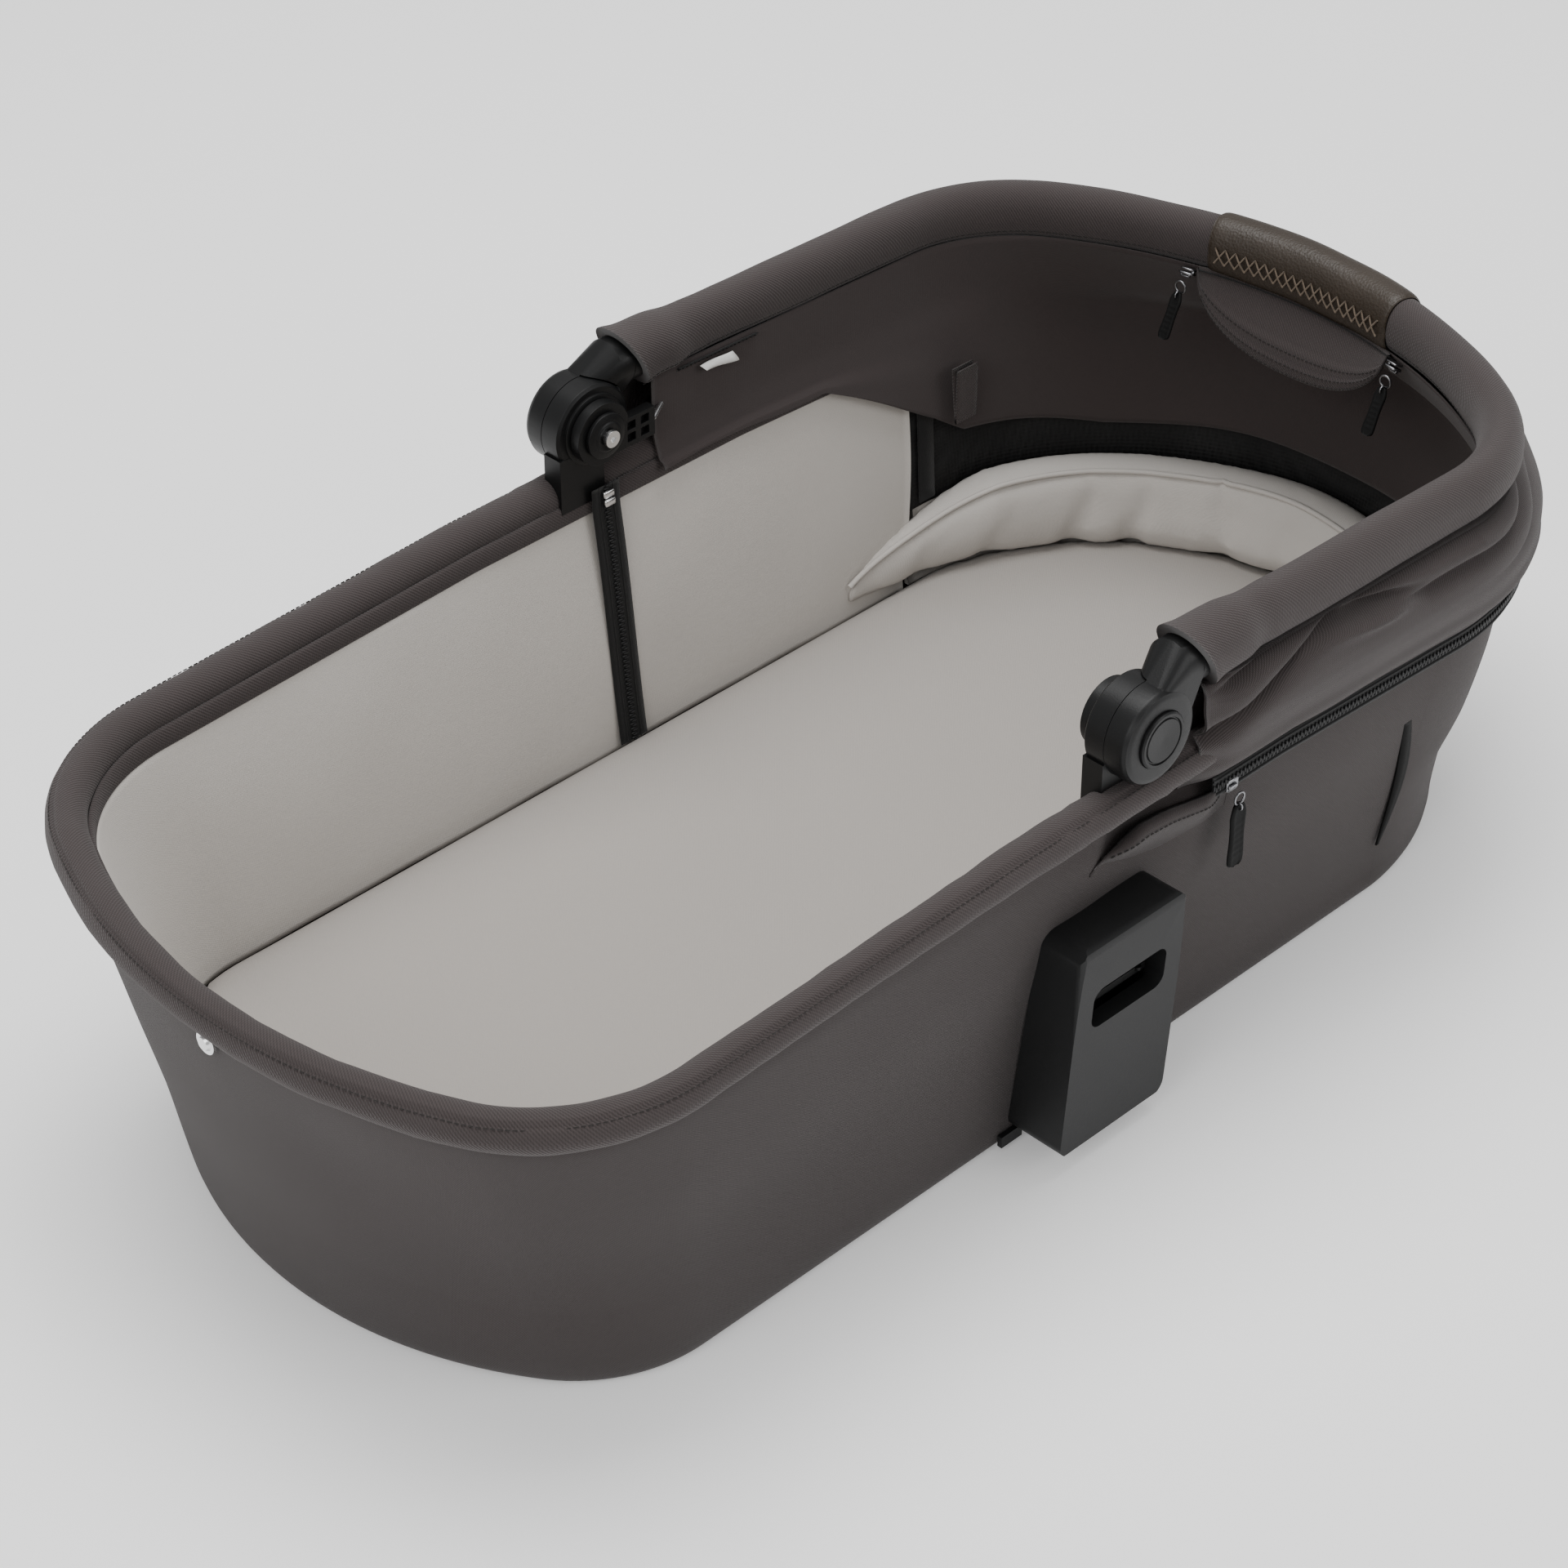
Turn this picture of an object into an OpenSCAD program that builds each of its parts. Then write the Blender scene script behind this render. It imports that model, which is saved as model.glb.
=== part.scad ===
// Baby carrycot with folding hood bow. Millimetres, Z up, +X towards the head end,
// -Y is the near side. The bottom of the fabric tub lies on z = 0.

/* [Tub] */
// half length of the rim seam
rim_half_l = 442; // [400:1:460]
// half width of the rim seam
rim_half_w = 209; // [190:1:220]
// height of the rim
rim_h = 223; // [200:1:240]
// half width of the floor
floor_half_w = 177; // [160:1:190]
// angle the rim drops by towards both ends
sag_angle = 2.5; // [0:0.1:4]
// thickness of the outer fabric wall
shell_t = 3; // [2:0.5:5]

/* [Rim] */
// radius of the padded rim cover
rim_cover_r = 10.5; // [9:0.5:13]
// radius of the hidden rim tube
rim_tube_r = 7; // [6:0.5:8]
// wall of the hidden tubes
tube_wall = 1.5; // [1:0.1:2]

/* [Bow] */
// bow pivot along X
pivot_x = -13; // [-20:0.5:0]
// bow pivot height
pivot_z = 251; // [240:0.5:260]
// leg height above the pivot
leg_rise = 27; // [24:0.5:30]
// half width between the bow legs
bow_half_w = 202.5; // [190:0.5:210]
// reach of the bow ahead of the pivot
bow_reach = 384; // [350:1:400]
// angle the folded bow dips by
bow_dip = 1.6; // [0:0.1:4]
// radius of the bow tube
bow_tube_r = 8.5; // [7:0.5:10]
// width of the bow sleeve
sleeve_w = 24; // [22:0.5:28]
// height of the bow sleeve
sleeve_h = 32; // [28:0.5:36]
// length of the leather grip
grip_l = 134; // [110:1:150]

/* [Hub] */
// radius of the hub drums
drum_r = 26; // [24:0.5:30]
// distance of the drum joint from the middle plane
drum_split = 203.2; // [200:0.1:206]
// button face distance from the middle plane
button_face = 219.6; // [216:0.1:222]
// radius of the button
button_r = 15.5; // [14:0.5:17]
// radius of the neck of the arm
neck_r = 14; // [12:0.5:15]

/* [Adapter] */
// middle of the adapter housing along X
adapter_x = -30.6; // [-40:0.1:-20]
// width of the adapter housing
adapter_w = 79.8; // [70:0.1:90]
// underside of the adapter housing
adapter_z0 = 12; // [8:1:20]
// top of the adapter housing
adapter_z1 = 151; // [140:1:160]
// outer face at the underside, from the middle plane
adapter_q0 = 215.5; // [210:0.1:220]
// outer face at the top, from the middle plane
adapter_q1 = 224.8; // [220:0.1:230]

/* [Padding] */
// top of the mattress
mattress_top = 53; // [45:1:60]
// underside of the mattress
mattress_bottom = 10.8; // [8:0.1:15]
// top of the pale wall lining
lining_top = 199.5; // [190:0.5:201]
// top of the head bumper
bumper_top = 108; // [100:1:115]
// hood zip height, measured at the middle of the rim
zip_z = 188; // [180:1:195]

/* [Hidden] */

fabric_c = [0.34, 0.31, 0.30];
dark_c = [0.29, 0.26, 0.26];
pale_c = [0.78, 0.77, 0.75];
mattress_c = [0.70, 0.68, 0.66];
black_c = [0.10, 0.10, 0.11];
metal_c = [0.75, 0.76, 0.78];
leather_c = [0.30, 0.25, 0.19];

gap = 0.3;
sag_x = 100;
seam_in = 0.6 * rim_cover_r;
rim_c_z = rim_h - rim_cover_r;
lip_in = 7.2;
wall_top = 201.5;
fn_round = 48;

// outline of one end: [half width, start of the bend, half length, corner radius]
head_rim = [rim_half_w, 246, rim_half_l, 186.3];
foot_rim = [rim_half_w, 313.5, rim_half_l, 106.3];
head_floor = [floor_half_w, 230, 401, 125];
foot_floor = [floor_half_w, 285, 403, 90];
head_bow = [bow_half_w, 240, pivot_x + bow_reach, 100];
head_rib = [203, 243, 396, 125];

function lerp(a, b, t) = a + (b - a) * t;
function clamp01(t) = min(1, max(0, t));
function sag(x) = tan(sag_angle) * max(0, abs(x) - sag_x);
function inset(p, d) = [p[0] - d, p[1], p[2] - d, p[3] - d];
function arc_gap(p) = (pow(p[0] - p[3], 2) + pow(p[2] - p[1] - p[3], 2)) / (2 * (p[2] - p[1] - p[3]));
function corner_cos(p) = (p[0] - p[3]) / arc_gap(p);
function crown_r(p) = arc_gap(p) + p[3];
function crown_x(p) = p[2] - crown_r(p);
// point of an end outline where the outward normal stands at the angle a from +X
function end_pt(p, a) = abs(sin(a)) >= corner_cos(p)
  ? [p[1] + p[3] * cos(a), (a < 0 ? -1 : 1) * (p[0] - p[3] + p[3] * abs(sin(a)))]
  : [crown_x(p) + crown_r(p) * cos(a), crown_r(p) * sin(a)];

end_steps = 22;
side_steps = 6;
function end_angles() = [for (i = [0:end_steps]) -90 + 180 * i / end_steps];
// closed outline through both ends, counter-clockwise from above
function outline(h, f) = concat(
  [for (a = end_angles()) end_pt(h, a)],
  [for (i = [1:side_steps - 1]) [lerp(h[1], -f[1], i / side_steps), lerp(h[0], f[0], i / side_steps)]],
  [for (a = end_angles()) let (q = end_pt(f, a)) [-q[0], -q[1]]],
  [for (i = [1:side_steps - 1]) [lerp(-f[1], h[1], i / side_steps), -lerp(f[0], h[0], i / side_steps)]]);

// how far the wall has opened from the floor outline to the rim outline at a height
function side_open(z) = clamp01(z / 202);
function head_open(z) = z < 60 ? 0 : z < 91 ? (z - 60) / 31 * 0.45 : clamp01(0.45 + (z - 91) / 94 * 0.55);
function tub_head(z, d) = let (s = side_open(z), g = head_open(z), r = inset(head_rim, lip_in),
  p = [lerp(head_floor[0], r[0], s), lerp(head_floor[1], r[1], g), lerp(head_floor[2], r[2], g),
       lerp(head_floor[3], r[3], s)]) inset(p, d);
function tub_foot(z, d) = inset(lerp(foot_floor, inset(foot_rim, lip_in), side_open(z)), d);
function sag_share(z) = clamp01((z - 60) / (wall_top - 60));
function level(pts, z) = [for (p = pts) [p[0], p[1], z - sag(p[0]) * sag_share(z)]];
function tub_ring(z, d) = level(outline(tub_head(z, d), tub_foot(z, d)), z);

// solid through a list of rings; closed = true joins the last ring to the first
module loft(rings, closed = false) {
  n = len(rings[0]);
  m = len(rings);
  pts = [for (r = rings) for (p = r) p];
  last = closed ? m - 1 : m - 2;
  sides = [for (i = [0:last]) for (j = [0:n - 1])
    let (k = (i + 1) % m, a = i * n + j, b = k * n + j, c = k * n + (j + 1) % n, d = i * n + (j + 1) % n)
    each [[a, b, c], [a, c, d]]];
  caps = closed ? [] : [[for (j = [0:n - 1]) j], [for (j = [n - 1:-1:0]) (m - 1) * n + j]];
  polyhedron(points = pts, faces = concat(sides, caps), convexity = 10);
}

// stations of the open run round the head end: [kind, value]
run_steps = 8;
function run_of(x0, n) = concat(
  [for (i = [0:run_steps - 1]) [-90, lerp(x0, 1, i / run_steps)]],
  [for (i = [0:n]) [-90 + 180 * i / n, 1]],
  [for (i = [run_steps - 1:-1:0]) [90, lerp(x0, 1, i / run_steps)]]);
// point of an outline at a station; the second value runs along the straight side
function at(p, s) = s[1] < 1 ? [p[1] * s[1], (s[0] < 0 ? -1 : 1) * p[0]] : end_pt(p, s[0]);
function normal(s) = [cos(s[0]), sin(s[0])];
// sweep a section (list of points as a function of the station) along the run
module run_sweep(sections) {
  n = len(sections[0]);
  m = len(sections);
  pts = [for (r = sections) for (p = r) p];
  sides = [for (i = [0:m - 2]) for (j = [0:n - 1])
    let (a = i * n + j, b = (i + 1) * n + j, c = (i + 1) * n + (j + 1) % n, d = i * n + (j + 1) % n)
    each [[a, c, d], [a, b, c]]];
  fans = [for (j = [1:n - 2]) each [[0, j, j + 1], [(m - 1) * n, (m - 1) * n + j + 1, (m - 1) * n + j]]];
  polyhedron(points = pts, faces = concat(sides, fans), convexity = 10);
}

module side(s) {
  if (s > 0) {
    children();
  } else {
    mirror([0, 1, 0]) children();
  }
}
// child profile (across, up) carried along a straight leg at height 0
module leg(x0, x1, y) {
  translate([x0, y, 0]) rotate([90, 0, 90]) linear_extrude(x1 - x0) children();
}
module arc_run(cx, cy, r, a0, a1) {
  translate([cx, cy, 0]) rotate([0, 0, a0]) rotate_extrude(angle = a1 - a0, $fn = 180)
    translate([r, 0]) children();
}
// run round one end from x = x0 on both sides, in sections that stop short of each other
butt = 0.1;
module end_run(p, x0) {
  th = acos(corner_cos(p));
  tr = butt / crown_r(p) * 57.3;
  for (s = [-1, 1]) leg(x0, p[1] - butt, s * p[0]) children();
  arc_run(p[1], p[0] - p[3], p[3], 90 - th, 90) children();
  arc_run(p[1], p[3] - p[0], p[3], -90, th - 90) children();
  arc_run(crown_x(p), 0, crown_r(p), th - 90 + tr, 90 - th - tr) children();
}
// child (along X, middle at 0) at the four section joints of an end run
module end_joints(p) {
  th = acos(corner_cos(p));
  c = end_pt(p, 90 - th);
  for (s = [-1, 1]) {
    translate([p[1], s * p[0], 0]) children();
    translate([c[0], s * c[1], 0]) rotate([0, 0, -s * th]) children();
  }
}
module spigot() {
  rotate([0, 90, 0]) cylinder(h = 14, r = bow_tube_r - tube_wall + 0.5, center = true, $fn = 36);
}
module rim_spigot() {
  rotate([0, 90, 0]) cylinder(h = 14, r = rim_tube_r - tube_wall + 0.5, center = true, $fn = 36);
}
module sag_end(dir) {
  mirror([dir < 0 ? 1 : 0, 0, 0]) translate([sag_x, 0, rim_c_z]) rotate([0, sag_angle, 0])
    translate([-sag_x, 0, 0]) children();
}
module bow_frame() {
  translate([pivot_x, 0, pivot_z]) rotate([0, bow_dip, 0]) translate([-pivot_x, 0, leg_rise])
    children();
}
module stadium(w, h) {
  for (s = [-1, 1]) translate([0, s * (h - w) / 2]) circle(d = w, $fn = fn_round);
  square([w, h - w], center = true);
}
module rrect(w, h, r) {
  square([w - 2 * r, h], center = true);
  square([w, h - 2 * r], center = true);
  for (x = [-1, 1]) for (y = [-1, 1])
    translate([x * (w / 2 - r), y * (h / 2 - r)]) circle(r, $fn = fn_round);
}
// disc or ring about the pivot between two distances from the middle plane
module pivot_ring(q0, q1, ro, ri = 0) {
  translate([pivot_x, q0, pivot_z]) rotate([-90, 0, 0]) difference() {
    cylinder(h = q1 - q0, r = ro, $fn = 72);
    if (ri > 0) translate([0, 0, -1]) cylinder(h = q1 - q0 + 2, r = ri, $fn = 72);
  }
}
module pivot_turn(profile) {
  translate([pivot_x, 0, pivot_z]) rotate([-90, 0, 0]) rotate_extrude($fn = 96) polygon(profile);
}
module coil_spring(r, wire, h, turns) {
  n = 10;
  k = 4;
  steps = turns * n;
  rings = [for (i = [0:steps]) let (a = 360 * i / n, z = lerp(wire, h - wire, i / steps))
    [for (j = [0:k - 1]) let (b = -360 * j / k)
      [(r + wire * cos(b)) * cos(a), (r + wire * cos(b)) * sin(a), z + wire * sin(b)]]];
  loft(rings);
}

// ---- tub ----
module outer_shell() {
  color(fabric_c) difference() {
    tub_wall();
    for (s = [-1, 1]) side(s) screw_rods(2.1, -6, 3);
  }
}
module tub_wall() {
  loft([
    tub_ring(0, 6), tub_ring(2.5, 1.5), tub_ring(7, 0), tub_ring(30, 0), tub_ring(60, 0),
    tub_ring(76, 0), tub_ring(91, 0), tub_ring(125, 0), tub_ring(160, 0), tub_ring(188, 0),
    tub_ring(wall_top, 0), tub_ring(wall_top, shell_t), tub_ring(188, shell_t),
    tub_ring(160, shell_t), tub_ring(125, shell_t), tub_ring(91, shell_t), tub_ring(76, shell_t),
    tub_ring(60, shell_t), tub_ring(30, shell_t), tub_ring(7, shell_t), tub_ring(shell_t, 6)]);
}
module rim_slot(s) {
  side(s) translate([-38.4, 188.4, 204]) cube([32.8, 14.6, 30]);
}
function tube_rings(r, n) = [for (k = [0:n - 1]) let (a = 360 * (k + 0.5) / n)
  band_ring(seam_in - r * cos(a), rim_c_z + r * sin(a))];
module rim_cover() {
  color(fabric_c) difference() {
    loft(tube_rings(rim_cover_r, 16), closed = true);
    loft(tube_rings(rim_tube_r + 1.4, 10), closed = true);
    for (s = [-1, 1]) rim_slot(s);
  }
}
module rim_section() {
  difference() {
    circle(rim_tube_r, $fn = fn_round);
    circle(rim_tube_r - tube_wall, $fn = fn_round);
  }
}
module rim_tube() {
  h = inset(head_rim, seam_in);
  f = inset(foot_rim, seam_in);
  color(metal_c) {
    translate([0, 0, rim_c_z]) for (s = [-1, 1]) {
      leg(-sag_x + 0.6, sag_x - 0.6, s * h[0]) rim_section();
      for (x = [-sag_x, sag_x]) translate([x, s * h[0], 0]) rim_spigot();
    }
    sag_end(1) {
      end_run(h, sag_x + 0.2) rim_section();
      end_joints(h) rim_spigot();
    }
    sag_end(-1) {
      end_run(f, sag_x + 0.2) rim_section();
      end_joints(f) rim_spigot();
    }
  }
}
function band_ring(d, z) = [for (p = outline(inset(head_rim, d), inset(foot_rim, d)))
  [p[0], p[1], z - sag(p[0])]];
module rim_band() {
  color(fabric_c) difference() {
    loft([band_ring(16.4, 203.6), band_ring(17.2, 212), band_ring(19.4, 212),
      band_ring(19.6, 199.8), band_ring(13.4, 199.8)], closed = true);
    for (s = [-1, 1]) rim_slot(s);
  }
}
module base_board() {
  color(black_c) difference() {
    loft([level(outline(tub_head(4, 8), tub_foot(4, 8)), 3.4),
      level(outline(tub_head(4, 6), tub_foot(4, 6)), 4.4),
      level(outline(tub_head(8, 6), tub_foot(8, 6)), 8.2)]);
    translate([adapter_x - 16, -160, 5.9]) cube([32, 320, 5]);
  }
}
module floor_brace() {
  color(metal_c) translate([adapter_x - 15, -159, 6.2]) cube([30, 318, 2]);
}
module wall_lining() {
  color(pale_c) difference() {
    loft([tub_ring(9, 7), tub_ring(20, 3.4), tub_ring(60, 3.4), tub_ring(76, 3.4), tub_ring(91, 3.4),
      tub_ring(125, 3.4), tub_ring(160, 3.4), tub_ring(lining_top, 3.4), tub_ring(lining_top, 11.8),
      tub_ring(160, 10.8), tub_ring(125, 9.8), tub_ring(91, 8.9), tub_ring(76, 8.5),
      tub_ring(60, 8.1), tub_ring(20, 8), tub_ring(10.4, 10)]);
    translate([238, -300, 96]) cube([300, 600, 200]);
    for (s = [-1, 1]) side(s) screw_rods(4.3, -6.4, -2.4);
  }
}
module mattress() {
  color(mattress_c) loft([
    level(outline(tub_head(12, 18), tub_foot(12, 18)), mattress_bottom),
    level(outline(tub_head(15, 10), tub_foot(15, 10)), 16),
    level(outline(tub_head(30, 8.8), tub_foot(30, 8.8)), 30),
    level(outline(tub_head(50, 8.9), tub_foot(50, 8.9)), mattress_top - 4),
    level(outline(tub_head(53, 13), tub_foot(53, 13)), mattress_top)]);
}
// ---- head end padding ----
bumper_sec = [[9.8, 55], [21, 54.6], [32, 62], [41.8, 80], [43.4, 97], [38.6, 106], [26, 108], [11.4, 104],
  [10.4, 62]];
function bumper_full(x) = clamp01((x - 168) / 110);
function bumper_pt(s, q) = let (base = at(tub_head(q[1], 0), s), f = bumper_full(base[0]),
  z = lerp(54.6, q[1], 0.12 + 0.88 * f), d = lerp(9.2, q[0], 0.15 + 0.85 * f),
  c = at(tub_head(z, 0), s)) [c[0] - d * normal(s)[0], c[1] - d * normal(s)[1], z];
module head_bumper() {
  color(pale_c) run_sweep([for (s = run_of(0.74, 28)) [for (q = bumper_sec) bumper_pt(s, q)]]);
}
function lining_low(x) = x < 135 ? 222 : x < 272 ? lerp(222, 142, (x - 135) / 137)
  : lerp(142, 130, clamp01((x - 272) / 100));
function mesh_pt(s, d, z) = let (c = at(tub_head(z, 0), s))
  [c[0] - d * normal(s)[0], c[1] - d * normal(s)[1], z - sag(c[0]) * sag_share(z)];
module mesh_panel() {
  color(black_c) run_sweep([for (s = run_of(0.975, 28)) [mesh_pt(s, 9.4, 98), mesh_pt(s, 11, 98),
    mesh_pt(s, 12, 150), mesh_pt(s, 12.4, 192), mesh_pt(s, 11, 192), mesh_pt(s, 10.6, 150)]]);
}
module inner_zip(s) {
  color(black_c) side(s) {
    translate([-8.5, 188.2, 216]) rotate([180, 0, 0]) translate([-10, -0.9, 0]) cube([20, 0.9, 16.4]);
    translate([-8.5, 188.9, 200]) rotate([-5.27, 0, 0]) rotate([0, -1.4, 0]) {
      translate([-10, -1, -146]) cube([20, 1, 146.2]);
      translate([-2, -2.6, -146]) cube([4, 2, 146.2]);
    }
    translate([-10.5, 186.4, 199]) cube([4, 2, 14]);
    translate([-12, 185.2, 208]) cube([7, 3, 6]);
  }
}
module inner_zip_left() {
  inner_zip(1);
}
module inner_zip_right() {
  inner_zip(-1);
}
module snap_stud() {
  color(metal_c) translate([-rim_half_l + 6.4, 0, 180]) rotate([0, -90, 0]) {
    cylinder(h = 1.6, r = 6.4, $fn = 48);
    translate([0, 0, 1.6]) cylinder(h = 1.6, r1 = 4.4, r2 = 3.4, $fn = 48);
  }
}
function strip_share(z) = (z - 41) / 92;
function strip_x(z) = 225.5 + 6.5 * sin(180 * strip_share(z));
function strip_half(z) = 1 + 11.8 * strip_share(z) - 9.4 * pow(strip_share(z), 2);
module strip(s) {
  color(black_c) side(s) loft([for (i = [0:8])
    let (z = 41 + 11.5 * i, y = tub_head(z, 0)[0] + 0.1, x = strip_x(z), h = strip_half(z))
    [for (q = [[-h, 0.3], [h, 0.3], [h, 1.3], [-h, 1.3]])
      [x + q[0], y + q[1], z - sag(x) * sag_share(z)]]]);
}
module strip_left() {
  strip(1);
}
module strip_right() {
  strip(-1);
}

// ---- chassis adapters ----
wall_slope = (rim_half_w - lip_in - floor_half_w) / 202;
function wall_q(z) = floor_half_w + wall_slope * z;
function face_q(z) = lerp(adapter_q0, adapter_q1, (z - adapter_z0) / (adapter_z1 - adapter_z0));
socket_w = 58;
socket_top = 88;
window_w = 55;
window_h = 26;
window_z = 108;
// rods at the four screw places of one side, between two distances from the wall's outer face
module screw_rods(r, a, b) {
  for (x = [-33.5, 33.5]) for (z = [40, 125])
    translate([adapter_x + x, wall_q(z) + a, z]) rotate([-90, 0, 0]) cylinder(h = b - a, r = r, $fn = 24);
}
module adapter_block(grow) {
  z0 = adapter_z0 - grow;
  z1 = adapter_z1 + grow;
  intersection() {
    translate([adapter_x - 100, 0, 0]) rotate([90, 0, 90]) linear_extrude(200) polygon([
      [wall_q(z0) + gap, z0], [face_q(z0) - 1.5, z0], [face_q(z0 + 1.5), z0 + 1.5],
      [face_q(z1 - 5), z1 - 5], [face_q(z1) - 1.4, z1 - 1.6], [face_q(z1) - 5, z1],
      [wall_q(z1) + gap, z1]]);
    translate([adapter_x, 300, (z0 + z1) / 2]) rotate([90, 0, 0]) linear_extrude(200)
      rrect(adapter_w + 2 * grow, z1 - z0, 9);
    translate([adapter_x, 180, 0]) linear_extrude(300) rrect(adapter_w + 2 * grow, 89.6, 5);
  }
}
module adapter(s) {
  color(black_c) side(s) difference() {
    adapter_block(0);
    translate([adapter_x - socket_w / 2, 190.5, adapter_z0 - 1]) cube([socket_w, 19, socket_top]);
    translate([adapter_x - 26, 197, adapter_z0 + 40]) cube([52, 14, 95]);
    screw_rods(2.1, -1, 15);
    translate([adapter_x, 240, window_z]) rotate([90, 0, 0]) linear_extrude(40)
      rrect(window_w, window_h, 7);
  }
}
module adapter_left() {
  adapter(1);
}
module adapter_right() {
  adapter(-1);
}
module latch(s) {
  color(black_c) side(s) {
    translate([adapter_x - 25.7, 197.5, 100.5]) cube([51.4, 13, 4]);
    translate([adapter_x - 20, 198, 62]) cube([40, 3.5, 42.5]);
    translate([adapter_x - 20, 192, 62]) cube([40, 6.1, 4]);
    translate([adapter_x + 25.7 - 6, 210.4, 102.5]) cylinder(h = 2, r = 2, $fn = 24);
  }
}
module latch_left() {
  latch(1);
}
module latch_right() {
  latch(-1);
}
module latch_spring(s) {
  color(metal_c) side(s) for (x = [-14, 14])
    translate([adapter_x + x, 203, 105]) coil_spring(3.6, 0.5, 41.6, 6);
}
module latch_spring_left() {
  latch_spring(1);
}
module latch_spring_right() {
  latch_spring(-1);
}
module adapter_screws() {
  color(metal_c) for (s = [-1, 1]) side(s) {
    screw_rods(4, -5.9, -3.75);
    screw_rods(1.9, -3.75, 14.6);
  }
}
module adapter_clips() {
  color(black_c) for (s = [-1, 1]) side(s) translate([adapter_x - 47, 179.1, 4.5]) cube([16, 3, 7.2]);
}

// ---- hubs ----
module hub_base(s) {
  color(black_c) side(s) difference() {
    union() {
      pivot_turn([[3.1, 181], [11, 181], [11, 188], [19.5, 188], [21, 188.6], [21, 189.6],
        [24.4, 189.6], [26, 191], [26, 202.9], [3.1, 202.9]]);
      translate([-38, 189.4, 206]) cube([32, 13.2, 34]);
    }
    translate([0, 0, rim_c_z]) leg(-60, 20, rim_half_w - seam_in)
      circle(rim_tube_r + 0.1, $fn = fn_round);
    pivot_ring(170, 210, 3.1);
  }
}
module hub_base_left() {
  hub_base(1);
}
module hub_base_right() {
  hub_base(-1);
}
module hub_cap(s) {
  color(black_c) side(s) pivot_turn([[3.1, 177.4], [8, 176.6], [9, 177.4], [10, 177.4],
    [13.4, 178.4], [13.4, 180.6], [3.1, 180.6]]);
}
module hub_cap_left() {
  hub_cap(1);
}
module hub_cap_right() {
  hub_cap(-1);
}
module hub_axles() {
  color(metal_c) for (s = [-1, 1]) side(s) {
    pivot_ring(176, 207, 3);
    pivot_ring(207, 209.4, 6);
  }
}
module hub_screws() {
  color(metal_c) for (s = [-1, 1]) side(s) difference() {
    pivot_ring(173.6, 175.9, 5);
    translate([pivot_x, 173, pivot_z]) rotate([-90, 0, 0]) cylinder(h = 2, r = 1.9, $fn = 6);
  }
}
module hub_arm(s) {
  q_leg = bow_half_w;
  color(black_c) side(s) difference() {
    union() {
      pivot_turn([[0, 203.3], [drum_r, 203.3], [drum_r, 213.5], [24.6, 216.4], [21.5, 217.5],
        [0, 217.5]]);
      hull() {
        pivot_ring(204.6, 216.2, 19);
        bow_frame() leg(8, 18.4, q_leg) circle(neck_r - 0.2, $fn = fn_round);
      }
      bow_frame() leg(17.6, 45, q_leg) circle(neck_r, $fn = fn_round);
    }
    pivot_ring(180, 203.2, drum_r + 0.8);
    pivot_ring(206.6, 214, 17.4);
    pivot_ring(213.9, 230, button_r + 0.3);
    pivot_ring(200, 208, 3.05);
    bow_frame() leg(20, 60, q_leg) circle(bow_tube_r + 0.1, $fn = fn_round);
  }
}
module hub_arm_left() {
  hub_arm(1);
}
module hub_arm_right() {
  hub_arm(-1);
}
module hub_button(s) {
  color(black_c) side(s) pivot_turn([[0, 214.2], [12.5, 214.2], [12.5, 211], [17.2, 211],
    [17.2, 213.6], [button_r, 213.6], [button_r, 218.8], [14.6, button_face], [13.2, button_face],
    [12.8, 218.7], [12.2, 218.7], [11.8, button_face], [0, button_face - 0.5]]);
}
module hub_button_left() {
  hub_button(1);
}
module hub_button_right() {
  hub_button(-1);
}
module button_spring(s) {
  color(metal_c) side(s) translate([pivot_x, 206.8, pivot_z]) rotate([-90, 0, 0])
    coil_spring(9, 0.6, 7.2, 3);
}
module button_spring_left() {
  button_spring(1);
}
module button_spring_right() {
  button_spring(-1);
}

// ---- hood rib, hidden between the hood layers ----
rib_z = 243;
module rib_arm(s) {
  color(black_c) side(s) difference() {
    union() {
      pivot_ring(181.2, 187.6, 18.5);
      translate([pivot_x, 181.2, rib_z - 8]) cube([38, 6.4, 18]);
    }
    pivot_ring(170, 200, 11.05);
    for (x = [20, 30]) for (z = [rib_z - 5, rib_z + 2.5])
      translate([pivot_x + x - 2.5, 180, z]) cube([6, 4.4, 5.2]);
    translate([15, 184.4, rib_z]) rotate([0, 90, 0]) cylinder(h = 20, r = 2.1, $fn = 24);
  }
}
module rib_arm_left() {
  rib_arm(1);
}
module rib_arm_right() {
  rib_arm(-1);
}
rib_root_x = 18;
rib_root_q = 184.4;
rib_r = 2;
rib_bend = [[rib_root_x, rib_root_q], [25, rib_root_q], [28, rib_root_q + 1],
  [54, head_rib[0] - 1], [57, head_rib[0]]];
function rib_height(x) = rib_z - tan(2.2) * max(0, x - 28);
module rib_wire() {
  near = [for (q = rib_bend) [q[0], -q[1], 0, -1]];
  turn = [for (i = [0:30]) let (a = -90 + 6 * i, c = end_pt(head_rib, a)) [c[0], c[1], cos(a), sin(a)]];
  far = [for (i = [len(rib_bend) - 1:-1:0]) [rib_bend[i][0], rib_bend[i][1], 0, 1]];
  color(metal_c) run_sweep([for (c = concat(near, turn, far)) [for (k = [0:7]) let (a = 90 - 45 * k)
    [c[0] + rib_r * cos(a) * c[2], c[1] + rib_r * cos(a) * c[3], rib_height(c[0]) + rib_r * sin(a)]]]);
}

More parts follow.
